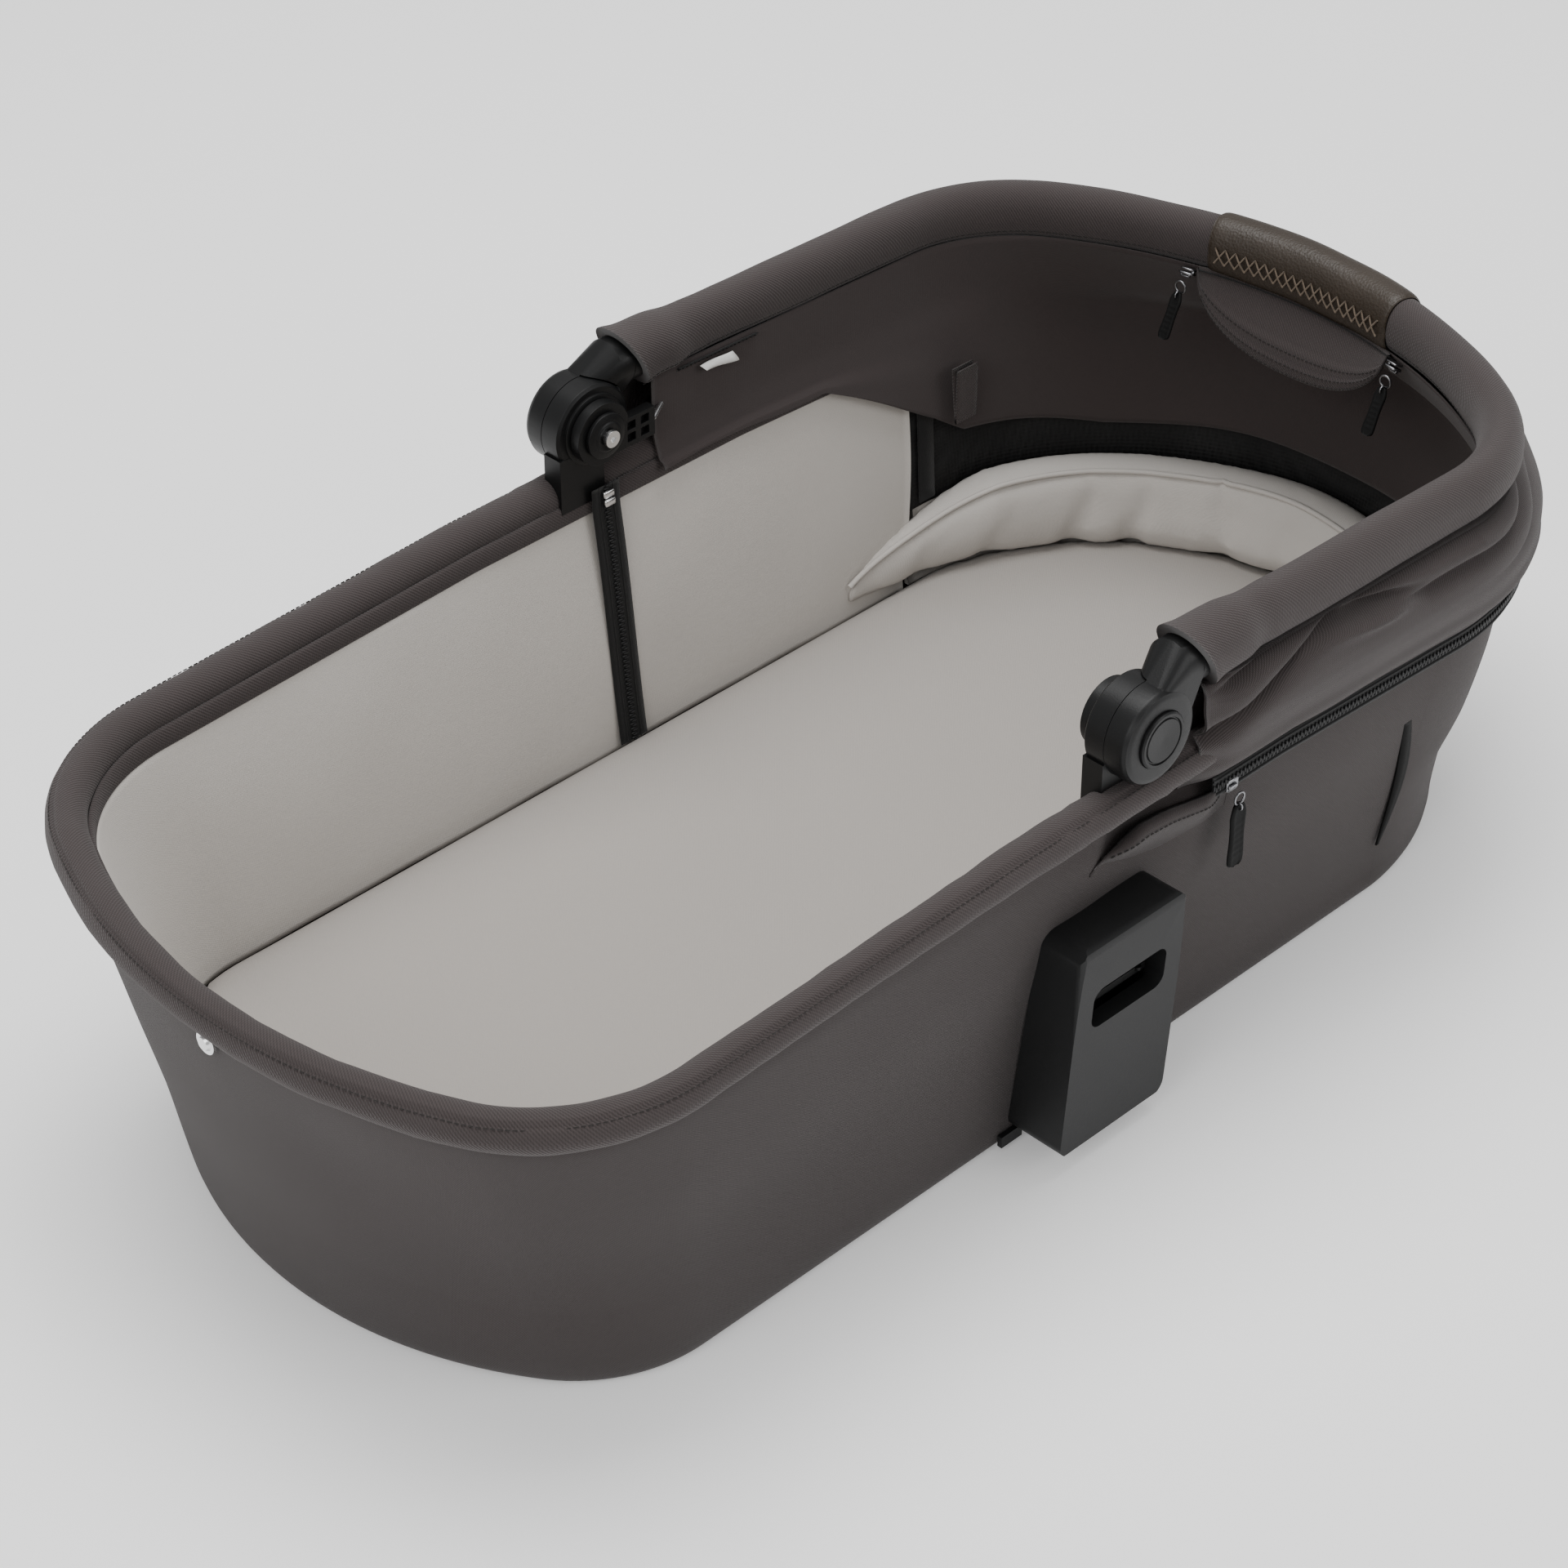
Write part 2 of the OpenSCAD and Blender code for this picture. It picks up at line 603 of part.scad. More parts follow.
// ---- bow ----
module bow_tube() {
  color(metal_c) bow_frame() {
    end_run(head_bow, 20) difference() {
      circle(bow_tube_r, $fn = fn_round);
      circle(bow_tube_r - tube_wall, $fn = fn_round);
    }
    end_joints(head_bow) spigot();
  }
}
sleeve_xs = [21, 34, 45.5, 54, 100, 170];
sleeve_run = concat([for (x = sleeve_xs) [-90, x / head_bow[1]]],
  [for (i = [0:36]) [-90 + 180 * i / 36, 1]],
  [for (i = [len(sleeve_xs) - 1:-1:0]) [90, sleeve_xs[i] / head_bow[1]]]);
// 0 inside the round cuff at the arm, 1 along the oval sleeve
function sleeve_oval(s) = s[1] < 1 ? clamp01((s[1] * head_bow[1] - 45.5) / 8.5) : 1;
function sleeve_sec(s, rc, w, h, n) = let (c = at(head_bow, s), m = normal(s), f = sleeve_oval(s),
  ww = lerp(2 * rc, w, f) / 2, hh = lerp(2 * rc, h, f) / 2)
  [for (k = [0:n - 1]) let (a = 90 - 360 * (k + 0.5) / n, u = ww * cos(a),
    v = ww * sin(a) + (sin(a) < 0 ? -1 : 1) * (hh - ww)) [c[0] + u * m[0], c[1] + u * m[1], v]];
module bow_sleeve() {
  bore_n = 12;
  bore = (bow_tube_r + 1) * 2 / cos(180 / bore_n);
  inner = concat([[-90, 20 / head_bow[1]]], [for (i = [1:len(sleeve_run) - 2]) sleeve_run[i]],
    [[90, 20 / head_bow[1]]]);
  color(fabric_c) bow_frame() difference() {
    run_sweep([for (s = sleeve_run) sleeve_sec(s, 17.4, sleeve_w, sleeve_h, 18)]);
    run_sweep([for (s = inner) sleeve_sec(s, 14.3 / cos(180 / bore_n), bore, bore, bore_n)]);
  }
}
module grip() {
  half = asin(grip_l / 2 / crown_r(head_bow));
  color(leather_c) bow_frame() arc_run(crown_x(head_bow), 0, crown_r(head_bow), -half, half)
    difference() {
      stadium(sleeve_w + 5, sleeve_h + 5);
      stadium(sleeve_w + 1.4, sleeve_h + 1.4);
    }
}
flap_half = 68;
module vent_flap() {
  r = crown_r(head_bow) - 12;
  a1 = asin(flap_half / r);
  n = 16;
  z_top = pivot_z + leg_rise - 19.5;
  color(fabric_c) bow_frame() translate([0, 0, -leg_rise - pivot_z])
    run_sweep([for (i = [0:n]) let (a = lerp(-a1, a1, i / n), k = sqrt(max(0.02, 1 - pow(i / n * 2 - 1, 2))),
      c = [cos(a), sin(a)]) [for (q = [[0, 0], [2.4, 0], [2.4 - 8 * k, -40 * k], [-8 * k, -40 * k]])
        [crown_x(head_bow) + (r + q[0]) * c[0], (r + q[0]) * c[1], z_top + q[1]]]]);
}
module bow_zip() {
  p = inset(head_bow, 10.6);
  color(black_c) bow_frame() translate([0, 0, -17.3]) {
    for (s = [-1, 1]) side(s) leg(52, 112, head_bow[0] - 9) square([7, 1.8], center = true);
    arc_run(crown_x(p), 0, crown_r(p), -14, 14) square([5, 1.8], center = true);
  }
}
module care_label() {
  color(pale_c) bow_frame() translate([67, 188.4, -29]) cube([24, 0.8, 10.5]);
}
slider_y = 75;
slider_x = 349.5;
slider_z = 249.2;
module flap_sliders() {
  color(metal_c) for (s = [-1, 1]) translate([slider_x, s * slider_y, slider_z]) {
    translate([-3, -6, -0.5]) cube([7, 12, 4]);
    translate([-4.5, -2, -3]) cube([2.5, 4, 4]);
  }
}
module pull_tab(l, w) {
  translate([0, 0, -6]) rotate([90, 0, 0]) rotate_extrude($fn = 32) translate([3.4, 0])
    circle(0.7, $fn = 12);
  difference() {
    translate([-w / 2, -1.1, -9 - l]) cube([w, 2.2, l]);
    translate([0, 0, -11.5]) rotate([90, 0, 0]) cylinder(h = 6, r = 2, center = true, $fn = 24);
  }
  translate([0, 0, -10]) rotate([0, 90, 0]) rotate_extrude($fn = 24) translate([1.9, 0])
    circle(0.6, $fn = 12);
}
flap_tilt = 25;
module flap_pull(s) {
  color(black_c) translate([slider_x - 6, s * slider_y, slider_z - 1]) rotate([0, flap_tilt, 0])
    rotate([0, 0, 90]) pull_tab(36, 8);
}
module flap_pull_left() {
  flap_pull(1);
}
module flap_pull_right() {
  flap_pull(-1);
}

// ---- hood cloth, folded down ----
function bow_low(x) = pivot_z + leg_rise - (x - pivot_x) * tan(bow_dip) - 19;
// point between the bow outline (f = 0) and the rim seam outline (f = 1)
function hood_pt(s, f, d, h, low) = let (b = at(head_bow, s), r = at(head_rim, s),
  c = lerp(b, r, f), n = normal(s), z0 = bow_low(b[0]), z1 = low - sag(r[0]))
  [c[0] + d * n[0], c[1] + d * n[1], lerp(z0, z1, h)];
module hood_fabric() {
  low = zip_z + 2;
  color(fabric_c) run_sweep([for (s = run_of(0.13, 30)) [
    hood_pt(s, 0, 7, 0, low), hood_pt(s, 0, 10, 0, low), hood_pt(s, 0.45, 12, 0.2, low),
    hood_pt(s, 0.8, 15, 0.42, low), hood_pt(s, 1, 13, 0.7, low), hood_pt(s, 1, -1, 1, low),
    hood_pt(s, 1, -6, 1, low), hood_pt(s, 1, 9, 0.7, low), hood_pt(s, 0.8, 11, 0.46, low),
    hood_pt(s, 0.45, 8.6, 0.26, low)]]);
}
function lin_pt(s, f, d, z) = let (b = at(head_bow, s), r = at(head_rim, s), c = lerp(b, r, f),
  n = normal(s)) [c[0] + d * n[0], c[1] + d * n[1], z];
module hood_lining() {
  color(dark_c) run_sweep([for (s = run_of(0.24, 30)) let (b = at(head_bow, s), r = at(head_rim, s),
    zb = bow_low(b[0]) - 0.5, zr = 214 - sag(r[0]), low = min(lining_low(r[0]) - 4, zr - 8)) [
    lin_pt(s, 0, -7, zb), lin_pt(s, 0.5, -12, lerp(zb, zr, 0.78)), lin_pt(s, 1, -21.4, zr - 3),
    lin_pt(s, 1, -25 - (zr - low) * 0.13, low), lin_pt(s, 1, -27 - (zr - low) * 0.13, low),
    lin_pt(s, 1, -23.6, zr - 5), lin_pt(s, 0.5, -14, lerp(zb, zr, 0.78) - 2), lin_pt(s, 0, -9, zb)]]);
}
module hood_zip() {
  color(black_c) run_sweep([for (s = run_of(0.265, 30)) [for (q = [[-6.4, 1], [-5.2, 1],
    [-5.2, -1.4], [-3.2, -1.4], [-3.2, -5.6], [-5.2, -5.6], [-5.2, -9], [-6.4, -9]])
      let (r = at(head_rim, s), n = normal(s))
        [r[0] + q[0] * n[0], r[1] + q[0] * n[1], zip_z + q[1] - sag(r[0])]]]);
}
module zip_slider() {
  color(metal_c) translate([60, -rim_half_w + 4, zip_z - 7.6]) {
    cube([7, 3.4, 7.2], center = true);
    translate([1, -2.6, -1.2]) cube([3.4, 2.6, 3.2], center = true);
  }
}
module zip_pull() {
  color(black_c) translate([62, -rim_half_w - 1.8, zip_z - 8.6]) pull_tab(37, 12);
}
module loop_strap() {
  color(fabric_c) translate([253, rim_half_w - 41.8, 147]) rotate([-6, 0, 0]) difference() {
    cube([18, 4.4, 32]);
    translate([-1, 1.4, 3]) cube([20, 1.6, 26]);
  }
}

outer_shell();
rim_cover();
rim_tube();
rim_band();
base_board();
floor_brace();
wall_lining();
mattress();
head_bumper();
mesh_panel();
inner_zip_left();
inner_zip_right();
snap_stud();
strip_left();
strip_right();
adapter_left();
adapter_right();
latch_left();
latch_right();
latch_spring_left();
latch_spring_right();
adapter_screws();
adapter_clips();
hub_base_left();
hub_base_right();
hub_cap_left();
hub_cap_right();
hub_axles();
hub_screws();
hood_fabric();
hood_lining();
hood_zip();
zip_slider();
zip_pull();
loop_strap();
rib_arm_left();
rib_arm_right();
rib_wire();
hub_arm_left();
hub_arm_right();
bow_tube();
bow_sleeve();
grip();
vent_flap();
bow_zip();
care_label();
flap_sliders();
flap_pull_left();
flap_pull_right();
hub_button_left();
hub_button_right();
button_spring_left();
button_spring_right();
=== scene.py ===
import math

import bpy
import numpy as np
from mathutils import Matrix, Vector


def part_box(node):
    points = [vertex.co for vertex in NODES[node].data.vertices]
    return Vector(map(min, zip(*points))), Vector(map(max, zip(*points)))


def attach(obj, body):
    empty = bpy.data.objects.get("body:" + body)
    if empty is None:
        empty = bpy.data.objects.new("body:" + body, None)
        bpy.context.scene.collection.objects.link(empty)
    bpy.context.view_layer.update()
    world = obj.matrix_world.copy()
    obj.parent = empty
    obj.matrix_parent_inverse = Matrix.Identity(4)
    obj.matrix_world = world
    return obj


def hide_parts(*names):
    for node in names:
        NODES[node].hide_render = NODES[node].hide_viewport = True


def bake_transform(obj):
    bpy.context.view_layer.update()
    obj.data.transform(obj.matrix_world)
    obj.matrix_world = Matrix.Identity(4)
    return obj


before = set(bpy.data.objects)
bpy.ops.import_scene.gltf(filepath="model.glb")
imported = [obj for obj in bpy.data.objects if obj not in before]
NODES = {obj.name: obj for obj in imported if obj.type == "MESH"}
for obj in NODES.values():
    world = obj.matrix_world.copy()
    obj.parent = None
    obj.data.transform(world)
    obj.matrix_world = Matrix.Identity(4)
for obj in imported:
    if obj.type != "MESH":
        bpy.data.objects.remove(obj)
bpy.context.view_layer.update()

TAU = 2 * math.pi

# ---------------------------------------------------------------- outlines
# One end of an outline: half width, start of the bend, half length, corner radius (metres).
HEAD_RIM = np.array([0.209, 0.246, 0.442, 0.1863])
FOOT_RIM = np.array([0.209, 0.3135, 0.442, 0.1063])
HEAD_FLOOR = np.array([0.177, 0.230, 0.401, 0.125])
FOOT_FLOOR = np.array([0.177, 0.285, 0.403, 0.090])
HEAD_BOW = np.array([0.2025, 0.240, 0.371, 0.100])
LIP_IN = 0.0072  # from the rim seam in to the shell's upper edge
FULL_Z = 0.202  # height at which the wall has its full width
FLARE_Z = (0.060, 0.091, 0.185)  # where the flare at the head starts, slows down and ends
FLARE_MID = 0.45  # share of the flare that is reached at the middle one
SHELL_T = 0.003
RIM_H = 0.223
RIM_R = 0.0105
SEAM_IN = 0.6 * RIM_R
RIM_CZ = RIM_H - RIM_R
SAG = math.tan(math.radians(2.5))
SAG_X, SAG_Z = 0.1, 0.06  # the ends sag beyond this distance, and the wall above this height
WALL_TOP = 0.2015
PIVOT = (-0.013, 0.251)
LEG_RISE = 0.027
LEG_Z = PIVOT[1] + LEG_RISE
DIP = math.radians(1.6)
ZIP_Z = 0.188
MATTRESS_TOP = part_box("mattress")[1].z
SIDES = ((1, "left"), (-1, "right"))


def sag(x):
    return SAG * np.maximum(0, np.abs(x) - SAG_X)


def sag_share(z):
    return np.clip((z - SAG_Z) / (WALL_TOP - SAG_Z), 0, 1)


def inset(p, d):
    return np.array([p[0] - d, p[1], p[2] - d, p[3] - d])


def smooth(a, b, x):
    t = np.clip((np.asarray(x, float) - a) / (b - a), 0, 1)
    return t * t * (3 - 2 * t)


def end_points(p, ang):
    """Points of one end where the outward normal stands at the angles ang from +X."""
    w, x0, length, r = p
    a = length - x0
    gap = ((w - r) ** 2 + (a - r) ** 2) / (2 * (a - r))
    crown = gap + r
    corner = np.abs(np.sin(ang)) >= (w - r) / gap
    x = np.where(corner, x0 + r * np.cos(ang), length - crown + crown * np.cos(ang))
    y = np.where(corner, np.sign(ang) * (w - r + r * np.abs(np.sin(ang))), crown * np.sin(ang))
    return np.stack([x, y], 1)


ARC_N, SIDE_N = 110, 90
ANG = np.radians(np.linspace(-90, 90, ARC_N + 1))
STEP = np.linspace(0, 1, SIDE_N + 1)[1:-1]


def ring(head, foot):
    """Closed outline, counter-clockwise from above."""
    h, f = end_points(head, ANG), -end_points(foot, ANG)
    far = np.stack([head[1] - (foot[1] + head[1]) * STEP, head[0] + (foot[0] - head[0]) * STEP], 1)
    near = np.stack([-foot[1] + (foot[1] + head[1]) * STEP, -(foot[0] + (head[0] - foot[0]) * STEP)], 1)
    return np.concatenate([h, far, f, near])


RING_N = np.concatenate([
    np.stack([np.cos(ANG), np.sin(ANG)], 1), np.tile([0.0, 1.0], (SIDE_N - 1, 1)),
    -np.stack([np.cos(ANG), np.sin(ANG)], 1), np.tile([0.0, -1.0], (SIDE_N - 1, 1))])


def along(points, closed=True):
    """Running length at each point, with the full length last if closed."""
    nxt = np.roll(points, -1, 0) if closed else points[1:]
    seg = np.linalg.norm(nxt - (points if closed else points[:-1]), axis=1)
    return np.concatenate([[0], np.cumsum(seg)])


def head_open(z):
    """Share of the head's flare that is reached at height z."""
    low, mid, high = FLARE_Z
    if z < mid:
        return FLARE_MID * float(smooth(low, mid, z))
    return min(1.0, FLARE_MID + (z - mid) / (high - mid) * (1 - FLARE_MID))


def tub_head(z):
    """Outline of the tub's head end at height z."""
    s, g = min(1, z / FULL_Z), head_open(z)
    return HEAD_FLOOR + (inset(HEAD_RIM, LIP_IN) - HEAD_FLOOR) * np.array([s, g, g, s])


def wall(z, d):
    """Ring of points round the tub wall at nominal height z, d inside its outer face."""
    foot = FOOT_FLOOR + (inset(FOOT_RIM, LIP_IN) - FOOT_FLOOR) * min(1, z / FULL_Z)
    xy = ring(tub_head(z), foot) - RING_N * d
    return np.column_stack([xy, z - sag(xy[:, 0]) * sag_share(z)])


def rim_at(d, z):
    """Rim seam outline, d inwards, at height z above the floor in the middle."""
    xy = ring(inset(HEAD_RIM, d), inset(FOOT_RIM, d))
    return np.column_stack([xy, z - sag(xy[:, 0])])


RIM_LEN = along(rim_at(0, RIM_H)[:, :2])
RIM_XY = ring(HEAD_RIM, FOOT_RIM)


def column_at(x, side, outline=RIM_XY):
    """The ring column nearest to x on one side, 1 for left and -1 for right."""
    return int(np.argmin(np.abs(outline[:, 0] - x) + (outline[:, 1] * side < 0) * 9))


def flat(xy):
    """Level vectors or points, with a height of 0 added."""
    return np.column_stack([xy, np.zeros(len(xy))])


def unit(v):
    return v / np.linalg.norm(v, axis=-1)[..., None]

# ---------------------------------------------------------------- noise


def wobble(p, size, seed, octaves=3):
    """Smooth seeded noise of about -1..1 with features of the given size (a length or three)."""
    rng = np.random.default_rng(seed)
    q = np.asarray(p, float).reshape(-1, 3) / np.asarray(size, float)
    out = np.zeros(len(q))
    for o in range(octaves):
        for _ in range(5):
            v = rng.normal(size=3)
            v *= 2.2 / np.linalg.norm(v) * 1.9 ** o
            out += np.sin(q @ v + rng.uniform(0, TAU)) * 0.42 / 1.8 ** o
    return out.reshape(np.shape(p)[:-1])


# ---------------------------------------------------------------- meshes


def new_object(name, verts, faces, material, uvs=None):
    mesh = bpy.data.meshes.new(name)
    mesh.from_pydata([tuple(v) for v in verts], [], faces)
    if uvs is not None:
        layer = mesh.uv_layers.new(name="UVMap")
        layer.data.foreach_set("uv", np.asarray(uvs, np.float32).ravel())
    mesh.polygons.foreach_set("use_smooth", [True] * len(mesh.polygons))
    mesh.materials.append(material)
    obj = bpy.data.objects.new(name, mesh)
    bpy.context.scene.collection.objects.link(obj)
    return obj


def grid(name, p, material, u=None, v=None, wrap=False, wrap_rows=False, caps=False, flip=False):
    """Quad mesh through p[row][column]; u, v are metric UVs per column and row."""
    p = np.asarray(p, float)
    rows, cols = p.shape[:2]
    i, j = np.meshgrid(np.arange(rows if wrap_rows else rows - 1),
                       np.arange(cols if wrap else cols - 1), indexing="ij")
    i, j = i.ravel(), j.ravel()
    i2, j2 = (i + 1) % rows, (j + 1) % cols
    quads = np.stack([i * cols + j, i * cols + j2, i2 * cols + j2, i2 * cols + j], 1)
    if u is None:
        u = along(p[rows // 2], closed=wrap)
    if v is None:
        v = along(p[:, cols // 3], closed=wrap_rows)
    corners = ((j, i), (j + 1, i), (j + 1, i + 1), (j, i + 1))
    uv = np.stack([np.stack([u[a], v[b]], 1) for a, b in corners], 1)
    if flip:
        quads, uv = quads[:, ::-1], uv[:, ::-1]
    faces, uvs = quads.tolist(), uv.reshape(-1, 2)
    if caps:
        first = np.arange(rows) * cols if wrap_rows else np.arange(cols)
        last = first + (cols - 1 if wrap_rows else (rows - 1) * cols)
        for loop in (first if flip else first[::-1], last[::-1] if flip else last):
            faces.append(loop.tolist())
            uvs = np.concatenate([uvs, np.zeros((rows, 2)) if wrap_rows else p.reshape(-1, 3)[loop, :2]])
    return new_object(name, p.reshape(-1, 3), faces, material, uvs)


def slab(name, p, material, **settings):
    """Closed solid whose rows run once round its section."""
    return grid(name, p, material, wrap_rows=True, caps=True, **settings)


def frames_of(path, up, closed=False):
    """Side, over and forward vectors along a path, from a reference up direction."""
    step = np.roll(path, -1, 0) - np.roll(path, 1, 0) if closed else np.gradient(path, axis=0)
    t = unit(step)
    side = unit(np.cross(t, np.broadcast_to(np.asarray(up, float), path.shape)))
    return side, np.cross(side, t), t


def tube(name, path, r, material, up=(0, 0, 1), sides=6, closed=False):
    """Round tube of radius r along a path."""
    path = np.asarray(path, float)
    side, over, _ = frames_of(path, up, closed)
    a = np.arange(sides) / sides * TAU
    p = np.array([path + r * (side * math.cos(x) + over * math.sin(x)) for x in a])
    return grid(name, p, material, wrap=closed, wrap_rows=True, caps=not closed)


def boxes(name, centres, xs, ys, zs, size, material, rounding=0.3):
    """Many small rounded blocks in one mesh; xs, ys, zs are each block's axes."""
    k = 1 - rounding
    corners = []
    for sz in (-1, 1):
        ring8 = [(-1, -k), (-k, -1), (k, -1), (1, -k), (1, k), (k, 1), (-k, 1), (-1, k)]
        corners += [(a * k, b * k, sz) for a, b in ring8]
        corners += [(a, b, sz * k) for a, b in ring8]
    c = np.array(corners) * np.asarray(size) / 2
    order = [0, 1, 3, 2]
    rings = [[r * 8 + n for n in range(8)] for r in order]
    local = [tuple(rings[0][::-1]), tuple(rings[3])]
    for a, b in zip(rings[:-1], rings[1:]):
        local += [(a[n], a[(n + 1) % 8], b[(n + 1) % 8], b[n]) for n in range(8)]
    centres, xs, ys, zs = (np.asarray(q, float) for q in (centres, xs, ys, zs))
    v = (centres[:, None] + c[None, :, :1] * xs[:, None] + c[None, :, 1:2] * ys[:, None]
         + c[None, :, 2:] * zs[:, None])
    faces = [tuple(q + 32 * n for q in f) for n in range(len(centres)) for f in local]
    return new_object(name, v.reshape(-1, 3), faces, material)


def carry(path, values, count):
    """A vector, or one for each point of a path, taken at even steps along the path."""
    values = np.broadcast_to(np.asarray(values, float), np.shape(path))
    s = along(path, closed=False)
    q = np.linspace(0, s[-1], count)
    return np.stack([np.interp(q, s, values[:, k]) for k in range(3)], 1)


def resample(path, spacing):
    return carry(path, path, max(2, int(round(along(path, closed=False)[-1] / spacing))))


def join(objs, name):
    with bpy.context.temp_override(active_object=objs[0], object=objs[0], selected_objects=objs,
                                   selected_editable_objects=objs):
        bpy.ops.object.join()
    objs[0].name = name
    return objs[0]


def place(obj, body, slot, *replaced):
    """Fix a piece to its body and hide the CAD nodes that it stands for; slot is not used."""
    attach(obj, body)
    if replaced:
        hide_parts(*replaced)
    return obj


def stitches(name, path, up, body, slot, pitch=0.0034, length=0.0024, width=0.0006):
    """Short threads in a row along a path; up points out of the cloth."""
    pts = resample(path, pitch)
    side, over, t = frames_of(pts, carry(path, up, len(pts)))
    place(boxes(name, pts, t, side, -over, (length, width, width), M["thread"]), body, slot)


# ---------------------------------------------------------------- materials


class Nodes:
    """Short hand for one material's node tree."""

    def __init__(self, name, rough, metallic=0.0, sheen=0.0, specular=0.5):
        self.mat = bpy.data.materials.new(name)
        self.mat.use_nodes = True
        self.t = self.mat.node_tree
        self.bsdf = self.t.nodes["Principled BSDF"]
        self.bsdf.inputs["Roughness"].default_value = rough
        self.bsdf.inputs["Metallic"].default_value = metallic
        self.bsdf.inputs["Sheen Weight"].default_value = sheen
        self.bsdf.inputs["Sheen Roughness"].default_value = 0.5
        self.bsdf.inputs["Specular IOR Level"].default_value = specular

    def add(self, kind, inputs=None, **settings):
        node = self.t.nodes.new(kind)
        for k, v in settings.items():
            setattr(node, k, v)
        for k, v in (inputs or {}).items():
            if isinstance(v, bpy.types.NodeSocket):
                self.t.links.new(v, node.inputs[k])
            else:
                node.inputs[k].default_value = v
        return node

    def math(self, op, a, b=0.0, clamp=False):
        return self.add("ShaderNodeMath", {0: a, 1: b}, operation=op, use_clamp=clamp).outputs[0]

    def coords(self, kind):
        return self.add("ShaderNodeTexCoord").outputs[kind]

    def noise(self, vec, scale, detail=2.0, rough=0.5):
        node = self.add("ShaderNodeTexNoise", {"Vector": vec, "Scale": scale, "Detail": detail,
                                               "Roughness": rough})
        return node.outputs["Fac"]

    def mix(self, fac, a, b):
        return self.add("ShaderNodeMix", {0: fac, 6: a, 7: b}, data_type="RGBA").outputs[2]

    def total(self, *terms):
        """Sum of values, each times its weight."""
        out = None
        for value, weight in terms:
            part = value if weight == 1 else self.math("MULTIPLY", value, weight)
            out = part if out is None else self.math("ADD", out, part)
        return out

    def spread(self, value, low, high):
        return self.add("ShaderNodeMapRange", {"Value": value, "To Min": low, "To Max": high}).outputs[0]

    def finish(self, color, rough, height, distance):
        self.t.links.new(color, self.bsdf.inputs["Base Color"])
        self.t.links.new(rough, self.bsdf.inputs["Roughness"])
        bump = self.add("ShaderNodeBump", {"Height": height, "Distance": distance, "Strength": 1.0})
        self.t.links.new(bump.outputs[0], self.bsdf.inputs["Normal"])
        return self.mat


def rgb(c, k=1.0):
    return tuple(min(1, v * k) for v in c) + (1,)


def twill(name, color, pitch, depth, contrast, mottle=0.1):
    """Diagonal twill with fine cross yarns on metric UVs."""
    n = Nodes(name, 0.9, sheen=0.12, specular=0.25)
    uv = n.coords("UV")
    wave = n.add("ShaderNodeTexWave", {"Vector": uv, "Scale": 0.628 / pitch, "Distortion": 0.6,
                                       "Detail": 1.0, "Detail Scale": 3.0},
                 wave_type="BANDS", bands_direction="DIAGONAL").outputs["Fac"]
    yarn = n.add("ShaderNodeTexWave", {"Vector": uv, "Scale": 0.314 / pitch * 1.7, "Distortion": 0.5},
                 wave_type="BANDS", bands_direction="X").outputs["Fac"]
    grain = n.noise(uv, 900, 2)
    blotch = n.noise(n.coords("Object"), 9, 3)
    h = n.total((wave, 0.7), (yarn, 0.3))
    tone = n.total((h, contrast), (grain, 0.25), (blotch, mottle))
    col = n.mix(n.math("SUBTRACT", tone, 0.02, clamp=True), rgb(color, 0.72), rgb(color, 1.75))
    return n.finish(col, n.spread(grain, 0.82, 0.96), n.total((h, 1), (grain, 0.4)), depth)


def plain_cloth(name, color, scale, depth, rough=0.88, contrast=0.12, soft=0.0):
    """Fine plain weave or jersey on object coordinates, needing no UVs."""
    n = Nodes(name, rough, sheen=0.1, specular=0.25)
    obj = n.coords("Object")
    sep = n.add("ShaderNodeSeparateXYZ", {"Vector": obj})
    yarns = [n.math("SINE", n.math("MULTIPLY", n.total((sep.outputs[axis], 1), (sep.outputs[2], lean)),
                                   scale * 4.2)) for axis, lean in ((0, 0.7), (1, -0.7))]
    weave = n.math("MULTIPLY", *yarns)
    grain = n.noise(obj, scale * 0.8, 2)
    blotch = n.noise(obj, 12, 3)
    tone = n.total((grain, contrast * 2), (blotch, contrast), (weave, contrast * 0.25))
    col = n.mix(n.math("MULTIPLY", tone, 1.0, clamp=True), rgb(color, 0.93), rgb(color, 1.08 + contrast))
    height = [(weave, 0.3), (grain, 1)]
    if soft:
        height.append((n.noise(obj, 160, 2), soft))
    return n.finish(col, n.spread(grain, rough - 0.05, min(1, rough + 0.05)), n.total(*height), depth)


def mesh_cloth(name, color):
    """Fine net with round holes, with a painted sheen that makes it paler in patches."""
    n = Nodes(name, 0.75, specular=0.3)
    obj = n.coords("Object")
    cell = n.add("ShaderNodeTexVoronoi", {"Vector": obj, "Scale": 420, "Randomness": 0.15})
    hole = n.spread(cell.outputs["Distance"], 0, 1.4)
    # painted sheen: noise patches that make the net paler, standing in for its grey sheen
    painted_sheen = n.noise(obj, 25, 3)
    col = n.mix(n.math("MULTIPLY", hole, painted_sheen, clamp=True), rgb(color, 0.8), rgb(color, 6.5))
    return n.finish(col, n.spread(hole, 0.6, 0.95), hole, 0.0004)


def moulded(name, color, rough, depth=0.00006, worn=0.35, specular=0.24):
    """Moulded plastic with a fine spark texture, and paler where it is touched."""
    n = Nodes(name, rough, specular=specular)
    obj = n.coords("Object")
    fine = n.noise(obj, 1500, 2, 0.6)
    broad = n.noise(obj, 22, 3)
    col = n.mix(n.math("MULTIPLY", broad, worn), rgb(color, 0.9), rgb(color, 1.9))
    return n.finish(col, n.total((n.spread(fine, rough - 0.05, rough + 0.09), 1), (broad, 0.06)), fine, depth)


